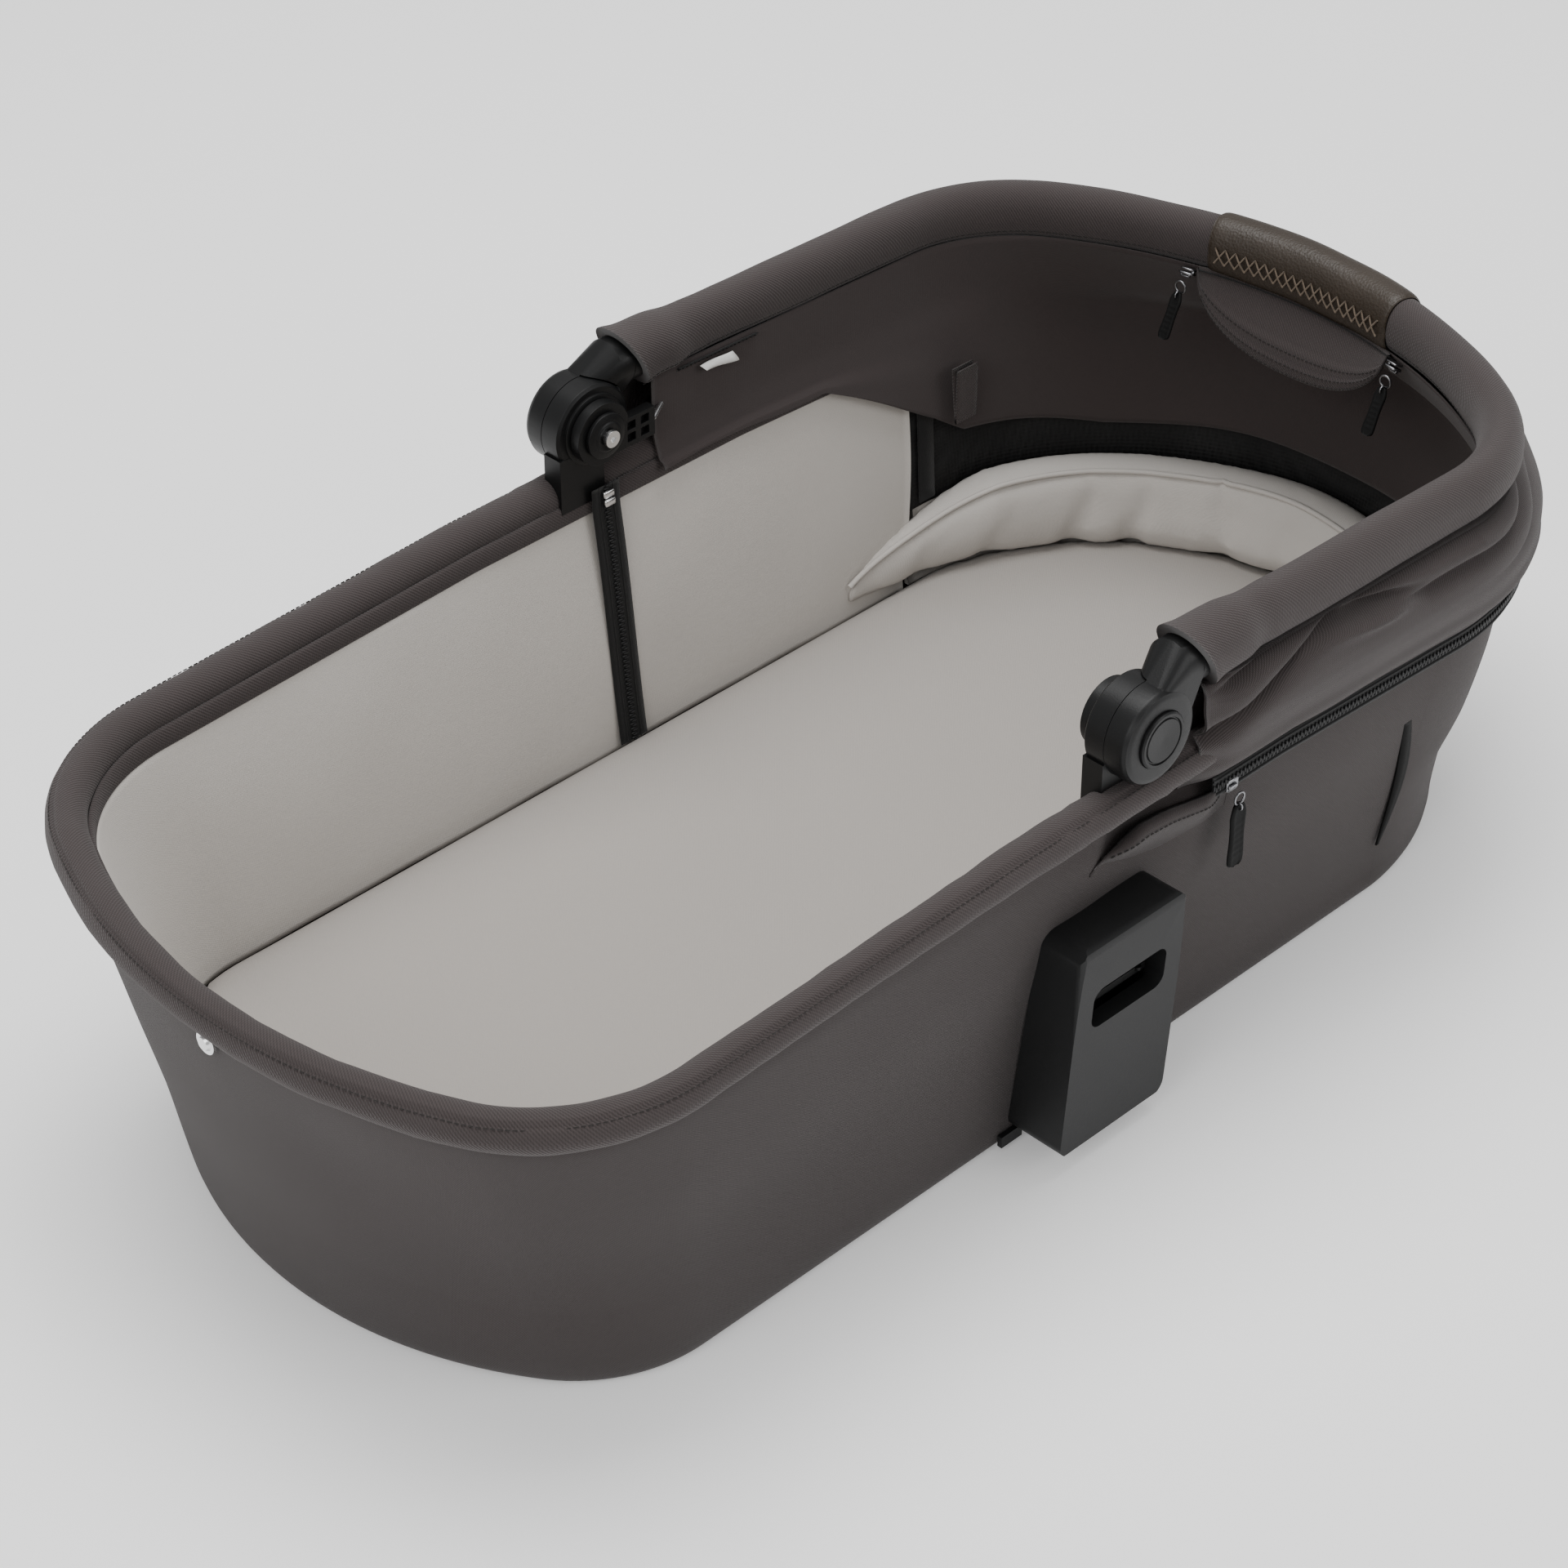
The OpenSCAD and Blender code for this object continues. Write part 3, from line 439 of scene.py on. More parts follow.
def leather(name, color):
    n = Nodes(name, 0.42, specular=0.45)
    obj = n.coords("Object")
    voronoi = n.add("ShaderNodeTexVoronoi", {"Vector": obj, "Scale": 620, "Randomness": 0.9})
    cells = voronoi.outputs["Distance"]
    pores = n.noise(obj, 1500, 3, 0.65)
    broad = n.noise(obj, 38, 4)
    col = n.mix(n.total((cells, 0.35), (broad, 0.65)), rgb(color, 0.72), rgb(color, 1.45))
    return n.finish(col, n.total((n.spread(broad, 0.34, 0.5), 1), (pores, 0.08)),
                    n.total((cells, 1), (pores, 0.5)), 0.00022)


def metal(name, color, rough=0.25):
    n = Nodes(name, rough, metallic=1.0)
    obj = n.coords("Object")
    scratch = n.noise(n.add("ShaderNodeMapping", {"Vector": obj, "Scale": (1, 14, 14)}).outputs[0], 260, 3)
    cloud = n.noise(obj, 60, 2)
    return n.finish(n.mix(cloud, rgb(color, 0.85), rgb(color, 1.1)),
                    n.spread(scratch, rough - 0.06, rough + 0.12), scratch, 0.00002)


TAUPE = (0.0335, 0.0270, 0.0262)
TAUPE_SEWN = (0.0385, 0.0310, 0.0302)
PALE = (0.54, 0.512, 0.478)
M = {
    "shell": twill("shell_twill", TAUPE, 0.0012, 0.00014, contrast=0.30, mottle=0.14),
    "rim": twill("rim_twill", TAUPE_SEWN, 0.0021, 0.00032, contrast=0.60),
    "sleeve": twill("sleeve_twill", TAUPE_SEWN, 0.0021, 0.00032, contrast=0.60),
    "hood": twill("hood_twill", (0.0345, 0.0278, 0.0270), 0.0018, 0.00026, contrast=0.50),
    "hood_lining": plain_cloth("hood_lining_cloth", (0.042, 0.0333, 0.0324), 1300, 0.00009, contrast=0.16),
    "lining": plain_cloth("lining_jersey", PALE, 1300, 0.00012, soft=1.2),
    "mattress": plain_cloth("mattress_cloth", (0.385, 0.359, 0.334), 1200, 0.00012, soft=0.8),
    "bumper": plain_cloth("bumper_jersey", PALE, 1300, 0.00012, soft=1.2),
    "mesh": mesh_cloth("mesh_net", (0.005, 0.005, 0.005)),
    "tape": plain_cloth("zip_tape", (0.008, 0.008, 0.008), 1500, 0.00016, rough=0.8, contrast=0.3),
    "coil": moulded("zip_coil", (0.014, 0.014, 0.0145), 0.36),
    "thread": plain_cloth("thread_dark", (0.020, 0.017, 0.016), 2600, 0.00005),
    "grip_thread": plain_cloth("thread_grip", (0.15, 0.115, 0.085), 2600, 0.00006),
    "label": plain_cloth("label_satin", (0.72, 0.72, 0.70), 2000, 0.00004, rough=0.5),
    "leather": leather("grip_leather", (0.0245, 0.0168, 0.0105)),
    "black": moulded("adapter_plastic", (0.0095, 0.0097, 0.010), 0.42),
    "latch": moulded("latch_plastic", (0.005, 0.005, 0.005), 0.4),
    "hub": moulded("hub_plastic", (0.0055, 0.0056, 0.0058), 0.34, worn=0.3),
    "board": moulded("board_plastic", (0.03, 0.03, 0.03), 0.55),
    "rubber": moulded("pull_rubber", (0.0045, 0.0045, 0.0045), 0.6, 0.0001, specular=0.14),
    "strip": moulded("strip_film", (0.0045, 0.0045, 0.0045), 0.6, specular=0.10),
    "steel": metal("steel_bright", (0.60, 0.60, 0.61), 0.24),
    "gunmetal": metal("slider_gunmetal", (0.24, 0.24, 0.25), 0.28),
    "silver": metal("stop_silver", (0.80, 0.80, 0.80), 0.2),
    "tube": metal("frame_tube_alloy", (0.55, 0.55, 0.56), 0.35),
}

# ---------------------------------------------------------------- tub cloth


def outer_shell():
    rise = 74
    zs = np.concatenate([[0, 0.0012, 0.003, 0.006, 0.010], np.linspace(0.016, WALL_TOP, rise)])
    ds = np.concatenate([[0.006, 0.0032, 0.0015, 0.0004, 0], np.zeros(rise)])
    outer = [wall(z, d) for z, d in zip(zs, ds)]
    inner = [wall(z, SHELL_T) for z in (WALL_TOP, 0.16, 0.12, 0.09, 0.07, 0.05, 0.02)]
    p = np.array(outer + inner + [wall(SHELL_T, 0.008)])
    m = len(outer)
    x = p[:m, :, 0]
    z = p[:m, :, 2]
    # soft drape: long shallow waves, stronger towards the head
    amp = 0.0006 + 0.0007 * smooth(0.06, 0.17, z) + 0.0012 * smooth(0.22, 0.34, x) * smooth(0.05, 0.1, z)
    amp *= smooth(0, 0.02, z) * smooth(WALL_TOP + 0.001, WALL_TOP - 0.02, z)
    # the cloth lies flat under the snap stud
    amp *= 1 - np.exp(-((x + 0.435) / 0.012) ** 2 - (p[:m, :, 1] / 0.03) ** 2)
    drape = wobble(p[:m], (0.16, 0.16, 0.05), 3, 2)
    ripple = wobble(p[:m], (0.035, 0.035, 0.11), 5, 2) * 0.35
    # creases fanning from the zip start towards the adapter, and a hollow behind the hub flap
    fan = np.exp(-((x - 0.02) / 0.06) ** 2 - ((z - 0.178) / 0.03) ** 2)
    tug = np.sin((x * 1.1 + z * 1.9) / 0.011) * fan * 0.0009
    pocket = 0.0034 * smooth(-0.040, -0.020, x) * smooth(0.060, 0.040, x) * smooth(0.176, 0.188, z)
    p[:m] += flat(RING_N)[None] * (amp * (drape + ripple) + tug - pocket)[..., None]
    place(grid("outer_shell_cloth", p, M["shell"], u=RIM_LEN, wrap=True, caps=True),
          "tub", "shell_fabric", "outer_shell")


def rim_cover():
    sides = 40
    seam_a = math.atan2(RIM_R * 0.8, SEAM_IN)
    rows = []
    for t in np.arange(sides) / sides * TAU:
        off = abs((t - seam_a + math.pi) % TAU - math.pi)
        r = RIM_R - 0.0012 * math.exp(-(off / 0.055) ** 2) + 0.0003 * math.exp(-((off - 0.2) / 0.1) ** 2)
        rows.append(rim_at(SEAM_IN - r * math.cos(t), RIM_CZ + r * math.sin(t)))
    p = np.array(rows)
    pucker = wobble(p, (0.012, 0.012, 0.02), 11, 2) * 0.00022 + wobble(p, 0.09, 12, 2) * 0.00035
    near_hub = np.exp(-((np.abs(p[..., 0] + 0.022) - 0.03) / 0.012) ** 2)
    pucker += near_hub * np.sin(p[..., 0] / 0.0032 + p[..., 2] / 0.004) * 0.0005
    p += unit(p - rim_at(SEAM_IN, RIM_CZ)[None]) * pucker[..., None]
    round_len = np.arange(sides + 1) / sides * TAU * RIM_R
    place(grid("rim_cover_cloth", p, M["rim"], u=RIM_LEN, v=round_len, wrap=True, wrap_rows=True),
          "tub", "rim_fabric", "rim_cover")
    thread_a, thread_r = seam_a - 0.16, RIM_R + 0.0004
    seam = rim_at(SEAM_IN - thread_r * math.cos(thread_a), RIM_CZ + thread_r * math.sin(thread_a))
    up = np.column_stack([RING_N * 0.6, np.full(len(RING_N), 0.8)])
    stitches("rim_seam_thread", seam, up, "tub", "rim_fabric")


def rim_band():
    section = [(0.0150, 0.2052), (0.0172, 0.2105), (0.0190, 0.2090), (0.0197, 0.2040),
               (0.0201, 0.1995), (0.0196, 0.1985), (0.0150, 0.1992)]
    p = np.array([rim_at(d, z) for d, z in section])
    place(grid("rim_band_cloth", p, M["rim"], u=RIM_LEN, wrap=True, wrap_rows=True, flip=True),
          "tub", "rim_fabric", "rim_band")


MESH_X = 0.238
PAD_LOW = 0.045


def cut_columns(mask):
    """Ring columns of one open run where mask holds, in order."""
    idx = np.where(mask)[0]
    gaps = np.where(np.diff(idx) > 1)[0]
    return idx if len(gaps) == 0 else np.concatenate([idx[gaps[0] + 1:], idx[:gaps[0] + 1]])


def wall_lining():
    for name, keep, top, top_d, seed in (
            ("lining_body", RIM_XY[:, 0] <= MESH_X, 0.1992, 0.0112, 21),
            ("lining_head", RIM_XY[:, 0] >= MESH_X - 0.003, 0.097, 0.0090, 22)):
        cols = cut_columns(keep)
        zs = np.linspace(PAD_LOW, top - 0.002, 46)
        rows = [wall(z, 0.0076 + 0.0040 * smooth(PAD_LOW, 0.19, z)) for z in zs]
        rows += [wall(z, d) for z, d in ((top, top_d), (top, 0.006), (top * 0.6, 0.0042), (PAD_LOW, 0.0042))]
        p = np.array(rows)[:, cols]
        m = len(zs)
        puff = wobble(p[:m], (0.11, 0.11, 0.07), seed, 2) * 0.0010
        puff += wobble(p[:m], (0.03, 0.03, 0.05), seed + 5, 2) * 0.00035
        puff += 0.0016 * np.sin(np.clip((p[:m, :, 2] - 0.05) / (top - 0.05), 0, 1) * math.pi)
        p[:m] -= flat(RING_N[cols])[None] * puff[..., None]
        obj = place(slab(name, p, M["lining"], flip=True), "tub", "lining_fabric", "wall_lining")


def swell(obj, voxel, cap, frames, pressure):
    """Short cloth simulation that fills a closed pad, with its movement capped, then applied."""
    m = obj.modifiers.new("remesh", "REMESH")
    m.mode = "VOXEL"
    m.voxel_size = voxel
    bpy.context.view_layer.objects.active = obj
    with bpy.context.temp_override(object=obj, active_object=obj, selected_objects=[obj]):
        bpy.ops.object.modifier_apply(modifier=m.name)
    count = len(obj.data.vertices)
    rest = np.zeros(count * 3)
    obj.data.vertices.foreach_get("co", rest)
    rest = rest.reshape(-1, 3)
    cloth = obj.modifiers.new("cloth", "CLOTH")
    s = cloth.settings
    s.quality = 5
    s.mass = 0.3
    s.use_pressure = True
    s.uniform_pressure_force = pressure
    s.tension_stiffness = s.compression_stiffness = 12
    s.bending_stiffness = 1.5
    s.effector_weights.gravity = 0
    cloth.collision_settings.use_collision = False
    cloth.point_cache.frame_start = 1
    cloth.point_cache.frame_end = frames
    for f in range(1, frames + 1):
        bpy.context.scene.frame_set(f)
    deps = bpy.context.evaluated_depsgraph_get()
    done = obj.evaluated_get(deps)
    co = np.zeros(count * 3)
    done.data.vertices.foreach_get("co", co)
    move = co.reshape(-1, 3) - rest
    size = np.linalg.norm(move, axis=1)
    scale = np.where(size > 1e-9, cap * np.tanh(size / cap) / np.maximum(size, 1e-9), 0)
    obj.modifiers.remove(cloth)
    bpy.context.scene.frame_set(1)
    obj.data.vertices.foreach_set("co", (rest + move * scale[:, None]).ravel())
    obj.data.polygons.foreach_set("use_smooth", [True] * len(obj.data.polygons))
    obj.data.update()


def mattress():
    low, top, edge_in = 0.0125, MATTRESS_TOP, 0.0175
    section = [(low, 0.016), (low + 0.0015, 0.0115), (0.020, 0.0098), (0.036, 0.0092),
               (top - 0.009, 0.0093), (top - 0.0045, 0.0102), (top - 0.0016, 0.0130), (top - 0.0004, edge_in)]
    rows = [wall(z, d) for z, d in section]
    edge = wall(top, edge_in)
    centre = np.array([-0.005, 0, top])
    for s in (0.985, 0.96, 0.92, 0.86, 0.78, 0.68, 0.56, 0.44, 0.32, 0.2, 0.1, 0.03):
        q = centre + (edge - centre) * np.array([s, s, 1])
        q[:, 2] = top + 0.0004
        rows.append(q)
    p = np.array(rows)
    m = len(section)
    fade = 1 - 0.3 * np.linspace(0, 1, len(p) - m)
    p[m:, :, 2] += wobble(p[m:], (0.14, 0.10, 1), 31, 2) * 0.0005 * fade[:, None]
    obj = grid("mattress_pad", p, M["mattress"], wrap=True, caps=True)
    swell(obj, 0.007, 0.0012, 8, 2.0)
    place(obj, "tub", "mattress_fabric", "mattress")


def run_stations(x_start, per_side, arc):
    """Open run round the head: (kind -1 near, 0 arc, 1 far; fraction of the straight; angle)."""
    near = [(-1, q, -math.pi / 2) for q in np.linspace(x_start, 1, per_side, endpoint=False)]
    mid = [(0, 1.0, a) for a in np.linspace(-math.pi / 2, math.pi / 2, arc)]
    far = [(1, q, math.pi / 2) for q in np.linspace(1, x_start, per_side + 1)[1:]]
    return near + mid + far


def run_outline(p, stations):
    out = []
    for kind, q, a in stations:
        out.append((p[1] * q, kind * p[0]) if kind else tuple(end_points(p, np.array([a]))[0]))
    return np.array(out)


def run_normals(stations):
    return np.array([(math.cos(a), math.sin(a)) for _, _, a in stations])


# Section of the head bumper: distance inside the wall, and height.
BUMPER = [(0.0100, 0.0555), (0.018, 0.0545), (0.026, 0.0552), (0.032, 0.0600), (0.0375, 0.0680),
          (0.0412, 0.0780), (0.0428, 0.0880), (0.0424, 0.0970), (0.0398, 0.1035), (0.0345, 0.1065),
          (0.026, 0.1075), (0.017, 0.1060), (0.0110, 0.1020), (0.0096, 0.080)]
GATHER = [0.2, 0.5, 0.9, 1.0, 0.8, 0.5, 0.3, 0.15, 0.05, 0, 0, 0, 0, 0.1]
BUMPER_D, BUMPER_Z = 0.0092, 0.0546  # where the bumper's section shrinks to at its ends


def head_bumper():
    st = run_stations(0.74, 40, 170)
    nrm = run_normals(st)
    base = run_outline(tub_head(0.08), st)
    full = np.clip((base[:, 0] - 0.166) / 0.112, 0, 1)
    rows = []
    for d, z in BUMPER:
        zz = BUMPER_Z + (z - BUMPER_Z) * (0.05 + 0.95 * full ** 0.55)
        dd = BUMPER_D + (d - BUMPER_D) * (0.06 + 0.80 * full ** 1.1)
        xy = np.array([run_outline(tub_head(q), [s])[0] for q, s in zip(zz, st)])
        rows.append(np.column_stack([xy - nrm * dd[:, None], zz]))
    p = np.array(rows)
    s = along(p[6], closed=False)
    # gathers along the lower inner edge, fading upwards
    rng = np.random.default_rng(44)
    gather = np.zeros(len(s))
    for c in np.cumsum(rng.uniform(0.018, 0.055, 40)):
        w = rng.uniform(0.004, 0.011)
        gather += rng.uniform(0.5, 1.0) * np.exp(-((s - c) / w) ** 2)
    for row, weight in zip(p, GATHER):
        row[:, :2] += nrm * (gather * weight * 0.0062 * full)[:, None]
        row[:, 2] += gather * weight * 0.0008
    # two seams across the pad
    for c in (0.42, 0.58):
        line = np.exp(-((np.arange(len(s)) / len(s) - c) / 0.0035) ** 2)
        p[3:11, :, :2] += nrm[None] * (line * 0.0022)[None, :, None]
    p[:, :, 2] += wobble(p, 0.05, 45, 2) * 0.0009 * full[None]
    obj = slab("head_bumper_pad", p, M["bumper"], flip=True)
    swell(obj, 0.0042, 0.0022, 12, 3.0)
    place(obj, "tub", "bumper_fabric", "head_bumper")
    pipe = tube("bumper_piping", p[8] + np.array([0, 0, 0.0012]), 0.0016, M["bumper"], sides=8)
    place(pipe, "tub", "bumper_fabric")


def mesh_panel():
    cols = cut_columns(RIM_XY[:, 0] >= MESH_X - 0.012)
    section = [(0.096, 0.0096), (0.12, 0.0103), (0.15, 0.0112), (0.192, 0.0122),
               (0.193, 0.0112), (0.15, 0.0102), (0.096, 0.0088)]
    p = np.array([wall(z, d)[cols] for z, d in section])
    p[:4, :, :2] -= RING_N[cols][None] * (wobble(p[:4], 0.05, 51, 2) * 0.0006)[..., None]
    place(slab("mesh_panel_net", p, M["mesh"], flip=True), "tub", "mesh_fabric", "mesh_panel")
    low, high = wall(0.100, 0.0122), wall(0.192, 0.0135)
    wide = np.array([0.0065, 0, 0])
    for s, side in SIDES:
        k = column_at(MESH_X, s)
        t = np.linspace(0, 1, 14)[:, None]
        path = low[k] + (high[k] - low[k]) * t + np.array([0.0085, 0, 0]) * (1 - 0.3 * t)
        out = np.array([0, -s * 0.0008, 0])
        q = np.array([path - wide, path - wide + out, path + wide + out, path + wide])
        place(slab("mesh_tape_" + side, q, M["tape"], flip=s > 0), "tub", "mesh_fabric")

outer_shell()
rim_cover()
rim_band()
wall_lining()
mattress()
head_bumper()
mesh_panel()

# ---------------------------------------------------------------- zips


def ribbon(name, path, across, width, thick, outward, material, body, slot, *replaced):
    """Flat tape along a path."""
    acr, out = (np.broadcast_to(np.asarray(v, float), path.shape) for v in (across, outward))
    k = np.linspace(-0.5, 0.5, 7)
    top = [path + acr * width * q + out * thick for q in k]
    low = [path + acr * width * q for q in k[::-1]]
    place(slab(name, np.array(top + low), material), body, slot, *replaced)


def zipper(name, path, across, outward, body, tape_w, tape_t, lift, width, *replaced):
    """Tape and closed coil along a path: two interlocking rows of small rounded blocks."""
    ribbon(name % "tape", path, across, tape_w, tape_t, outward, M["tape"], body, "zip_black", *replaced)
    pitch = 0.0015
    path = path + np.asarray(outward) * lift
    pts = resample(path, pitch)
    out, acr = carry(path, outward, len(pts)), carry(path, across, len(pts))
    shift = np.where(np.arange(len(pts)) % 2 == 0, 1, -1)[:, None] * width * 0.14
    teeth = boxes(name % "teeth", pts + acr * shift, unit(np.gradient(pts, axis=0)), acr, out,
                  (pitch * 0.72, width * 0.72, 0.0013), M["coil"], 0.4)
    place(teeth, body, "zip_black")


def inner_zips():
    for s, side in SIDES:
        zs = np.linspace(0.0490, 0.2145, 60)
        xs = np.linspace(-0.0050, -0.0085, 60)
        d = [0.0088 + 0.0042 * smooth(PAD_LOW, 0.19, z) for z in np.minimum(zs, 0.199)]
        ys = [wall(z, q)[column_at(x, s)][1] for z, q, x in zip(np.minimum(zs, 0.199), d, xs)]
        path = np.column_stack([xs, np.array(ys) - s * 0.0019, zs])
        across, out = np.array([1, 0, 0]), np.array([0, -s, 0])
        zipper("inner_zip_%s_" + side, path, across, out, "tub", 0.020, 0.0007, 0.0013, 0.0046,
               "inner_zip_" + side)
        for i, e in enumerate((-0.0052, 0.0052)):
            place(tube("inner_zip_ridge_%s_%d" % (side, i), path + across * e + out * 0.0007, 0.0006,
                       M["tape"], up=(0, 1, 0)), "tub", "zip_black")
        stops = [path[-3] + np.array([0, -s * lift, z]) for lift, z in ((0.0022, 0.001), (0.003, -0.004))]
        place(boxes("inner_zip_stop_" + side, stops, *(np.tile(v, (2, 1)) for v in np.eye(3)),
                    (0.0072, 0.0030, 0.0042), M["silver"], 0.2), "tub", "slider_metal")


def hood_zip():
    st = run_stations(0.186, 60, 200)
    xy = run_outline(HEAD_RIM, st)
    out = flat(run_normals(st))
    base = np.column_stack([xy, ZIP_Z - sag(xy[:, 0]) - 0.0040]) - out * 0.0038
    up = np.tile([0.0, 0, 1.0], (len(st), 1))
    zipper("hood_zip_%s", base, up, out, "tub", 0.0135, 0.0008, 0.0014, 0.0048, "hood_zip")
    for i, e in enumerate((-0.0046, 0.0046)):
        ridge = tube("hood_zip_ridge_%d" % i, base + out * 0.0010 + up * e, 0.0007, M["tape"])
        place(ridge, "tub", "zip_black")


inner_zips()
hood_zip()

# ---------------------------------------------------------------- hood cloth


def bow_low(x):
    return LEG_Z - (x - PIVOT[0]) * math.tan(DIP) - 0.019


def crease(v, line, width):
    """Sharp-bottomed valley of depth 1 along a line."""
    return np.exp(-(np.abs(v - line) / width) ** 1.25)


# Hood cloth from the bow to the zip: share of the way out to the rim, bulge, share of the way down.
HOOD_CHAIN = np.array([
    (0, 0.0050, 0.035), (0, 0.0085, 0.0), (0.02, 0.0125, 0.0), (0.08, 0.0160, 0.035),
    (0.25, 0.0175, 0.11), (0.45, 0.0170, 0.20), (0.65, 0.0160, 0.31), (0.85, 0.0140, 0.43),
    (1, 0.0105, 0.56), (1, 0.0072, 0.68), (1, 0.0035, 0.80), (1, 0.0002, 0.92), (1, -0.0032, 1.0)])


def hood_outer():
    st = run_stations(0.105, 90, 260)
    nrm = run_normals(st)
    bow, rim = run_outline(HEAD_BOW, st), run_outline(HEAD_RIM, st)
    n3 = flat(nrm)
    fine = np.linspace(0, 1, 120)
    f, d, h = (np.interp(fine, np.linspace(0, 1, len(HOOD_CHAIN)), column) for column in HOOD_CHAIN.T)
    for arr in (f, d, h):
        arr[2:-2] = (arr[:-4] + arr[1:-3] + arr[2:-2] + arr[3:-1] + arr[4:]) / 5
    z0 = bow_low(bow[:, 0]) + 0.0042
    z1 = ZIP_Z + 0.0022 - sag(rim[:, 0])
    s = along(np.column_stack([rim, z1]), closed=False)
    a = np.minimum(s, s[-1] - s)
    # fold lines as a share of the height, against the distance from the hub
    first = np.interp(a, [0, 0.04, 0.10, 0.20, 0.40, 0.60], [0.30, 0.23, 0.19, 0.20, 0.18, 0.20])
    second = np.interp(a, [0, 0.03, 0.07, 0.11, 0.14], [0.62, 0.50, 0.36, 0.25, 0.21])
    third = np.interp(a, [0.13, 0.17, 0.25, 0.40, 0.60], [0.36, 0.43, 0.42, 0.40, 0.44])
    fourth = np.interp(a, [0.20, 0.30, 0.45, 0.60], [0.58, 0.60, 0.57, 0.62])
    eye = (a - 0.128) / 0.028
    heading = np.abs(np.arctan2(nrm[:, 1], nrm[:, 0]))
    tuck = 1 - 0.85 * np.exp(-((heading - 0.80) / 0.50) ** 2)
    rows = []
    for i, w in enumerate(fine):
        sway = 0.012 * np.sin(s / 0.043 + w * 5) + 0.008 * np.sin(s / 0.021 + 1.3)
        disp = 0.0030 * np.sin(np.clip((w - 0.06) / 0.9, 0, 1) * math.pi)
        disp = disp * tuck - 0.0100 * crease(w, first + sway, 0.050) * smooth(0.0, 0.03, a)
        disp -= 0.0095 * crease(w, second + sway * 0.4, 0.046) * smooth(0.17, 0.10, a)
        disp -= 0.0120 * np.exp(-((w - 0.315 - 0.02 * eye) / 0.042) ** 2 - eye ** 2)
        disp += 0.0040 * np.exp(-((w - 0.40 - 0.02 * eye) / 0.040) ** 2 - eye ** 2)
        disp -= 0.0085 * crease(w, third + sway, 0.050) * smooth(0.125, 0.18, a)
        disp -= 0.0060 * crease(w, fourth + sway * 1.4, 0.060) * smooth(0.20, 0.32, a)
        disp += 0.0022 * np.exp(-((w - 0.86) / 0.06) ** 2)
        disp *= smooth(0.10, 0.17, w) * smooth(1.0, 0.93, w)
        # gathers behind the hub
        end = np.exp(-(a / 0.015) ** 2)
        disp -= end * (0.0085 + 0.0012 * np.sin(w * 17)) * smooth(0.10, 0.2, w)
        c = bow + (rim - bow) * f[i]
        z = z0 + (z1 - z0) * h[i]
        held = 1 - (1 - tuck) * smooth(0.08, 0.25, w) * smooth(1.0, 0.85, w)
        row = np.column_stack([c + nrm * (d[i] * held + disp)[:, None], z])
        row[:, 0] += end * 0.0010 * np.sin(w * 13) * smooth(0.1, 0.2, w)
        rows.append(row)
    p = np.array(rows)
    loose = smooth(0.08, 0.2, fine)[:, None]
    p += n3[None] * (wobble(p, (0.07, 0.07, 0.02), 72, 3) * 0.0008 * loose)[..., None]
    full = np.concatenate([p, p[::-1] - n3[None] * 0.0016])
    obj = slab("hood_cloth", full, M["hood"], u=s, flip=True)
    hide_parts("hood_fabric")
    return obj


def lining_low(x):
    """Height of the lining's lower hem, which rises from the head towards the hubs."""
    a = 0.222 + (0.142 - 0.222) * np.clip((x - 0.135) / 0.137, 0, 1)
    return a + (0.130 - 0.142) * np.clip((x - 0.272) / 0.1, 0, 1)


def hood_inner():
    st = run_stations(0.14, 60, 220)
    nrm = run_normals(st)
    bow, rim = run_outline(HEAD_BOW, st), run_outline(HEAD_RIM, st)
    n3 = flat(nrm)
    zb = bow_low(bow[:, 0]) + 0.0062
    zr = 0.214 - sag(rim[:, 0])
    drop = zr - np.minimum(lining_low(rim[:, 0]) - 0.004, zr - 0.008)
    edge_in, hang = 0.0214, 0.003
    chain = [(0, -0.0104, zb), (0.5, -0.0130, zb + (zr - zb) * 0.74), (1, -edge_in, zr - hang)]
    rows = []
    for t in np.arange(16) / 8:
        k = int(t)
        f, d, z = (a + (b - a) * (t - k) for a, b in zip(chain[k], chain[k + 1]))
        rows.append(np.column_stack([bow + (rim - bow) * f + nrm * d, z]))
    for t in np.linspace(0, 1, 24):
        d = -edge_in - 0.0036 * smooth(0, 0.5, t) - drop * 0.13 * t
        rows.append(np.column_stack([rim + nrm * d[:, None], zr - hang - (drop - hang) * t]))
    p = np.array(rows)
    # relax the kink over the rim, then add soft drape and a wavy hem
    for _ in range(5):
        p[1:-1] = (p[:-2] + p[1:-1] * 2 + p[2:]) / 4
    loose = smooth(0, 0.3, np.linspace(0, 1, len(p)))[:, None, None]
    p += n3[None] * (wobble(p, (0.12, 0.12, 0.05), 81, 3) * 0.0013)[..., None] * loose
    wave = np.sin(along(p[-1], closed=False) / 0.021) * 0.0012
    p[-6:, :, 2] += wave[None] * np.linspace(0, 1, 6)[:, None]
    obj = slab("hood_lining_cloth", np.concatenate([p, p[::-1] + n3[None] * 0.0012]), M["hood_lining"])
    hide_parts("hood_lining")
    return obj


HOOD = hood_outer()
LINING = hood_inner()
FLAP_Y = 0.1792
SIDE_SLOPE = 0.1228


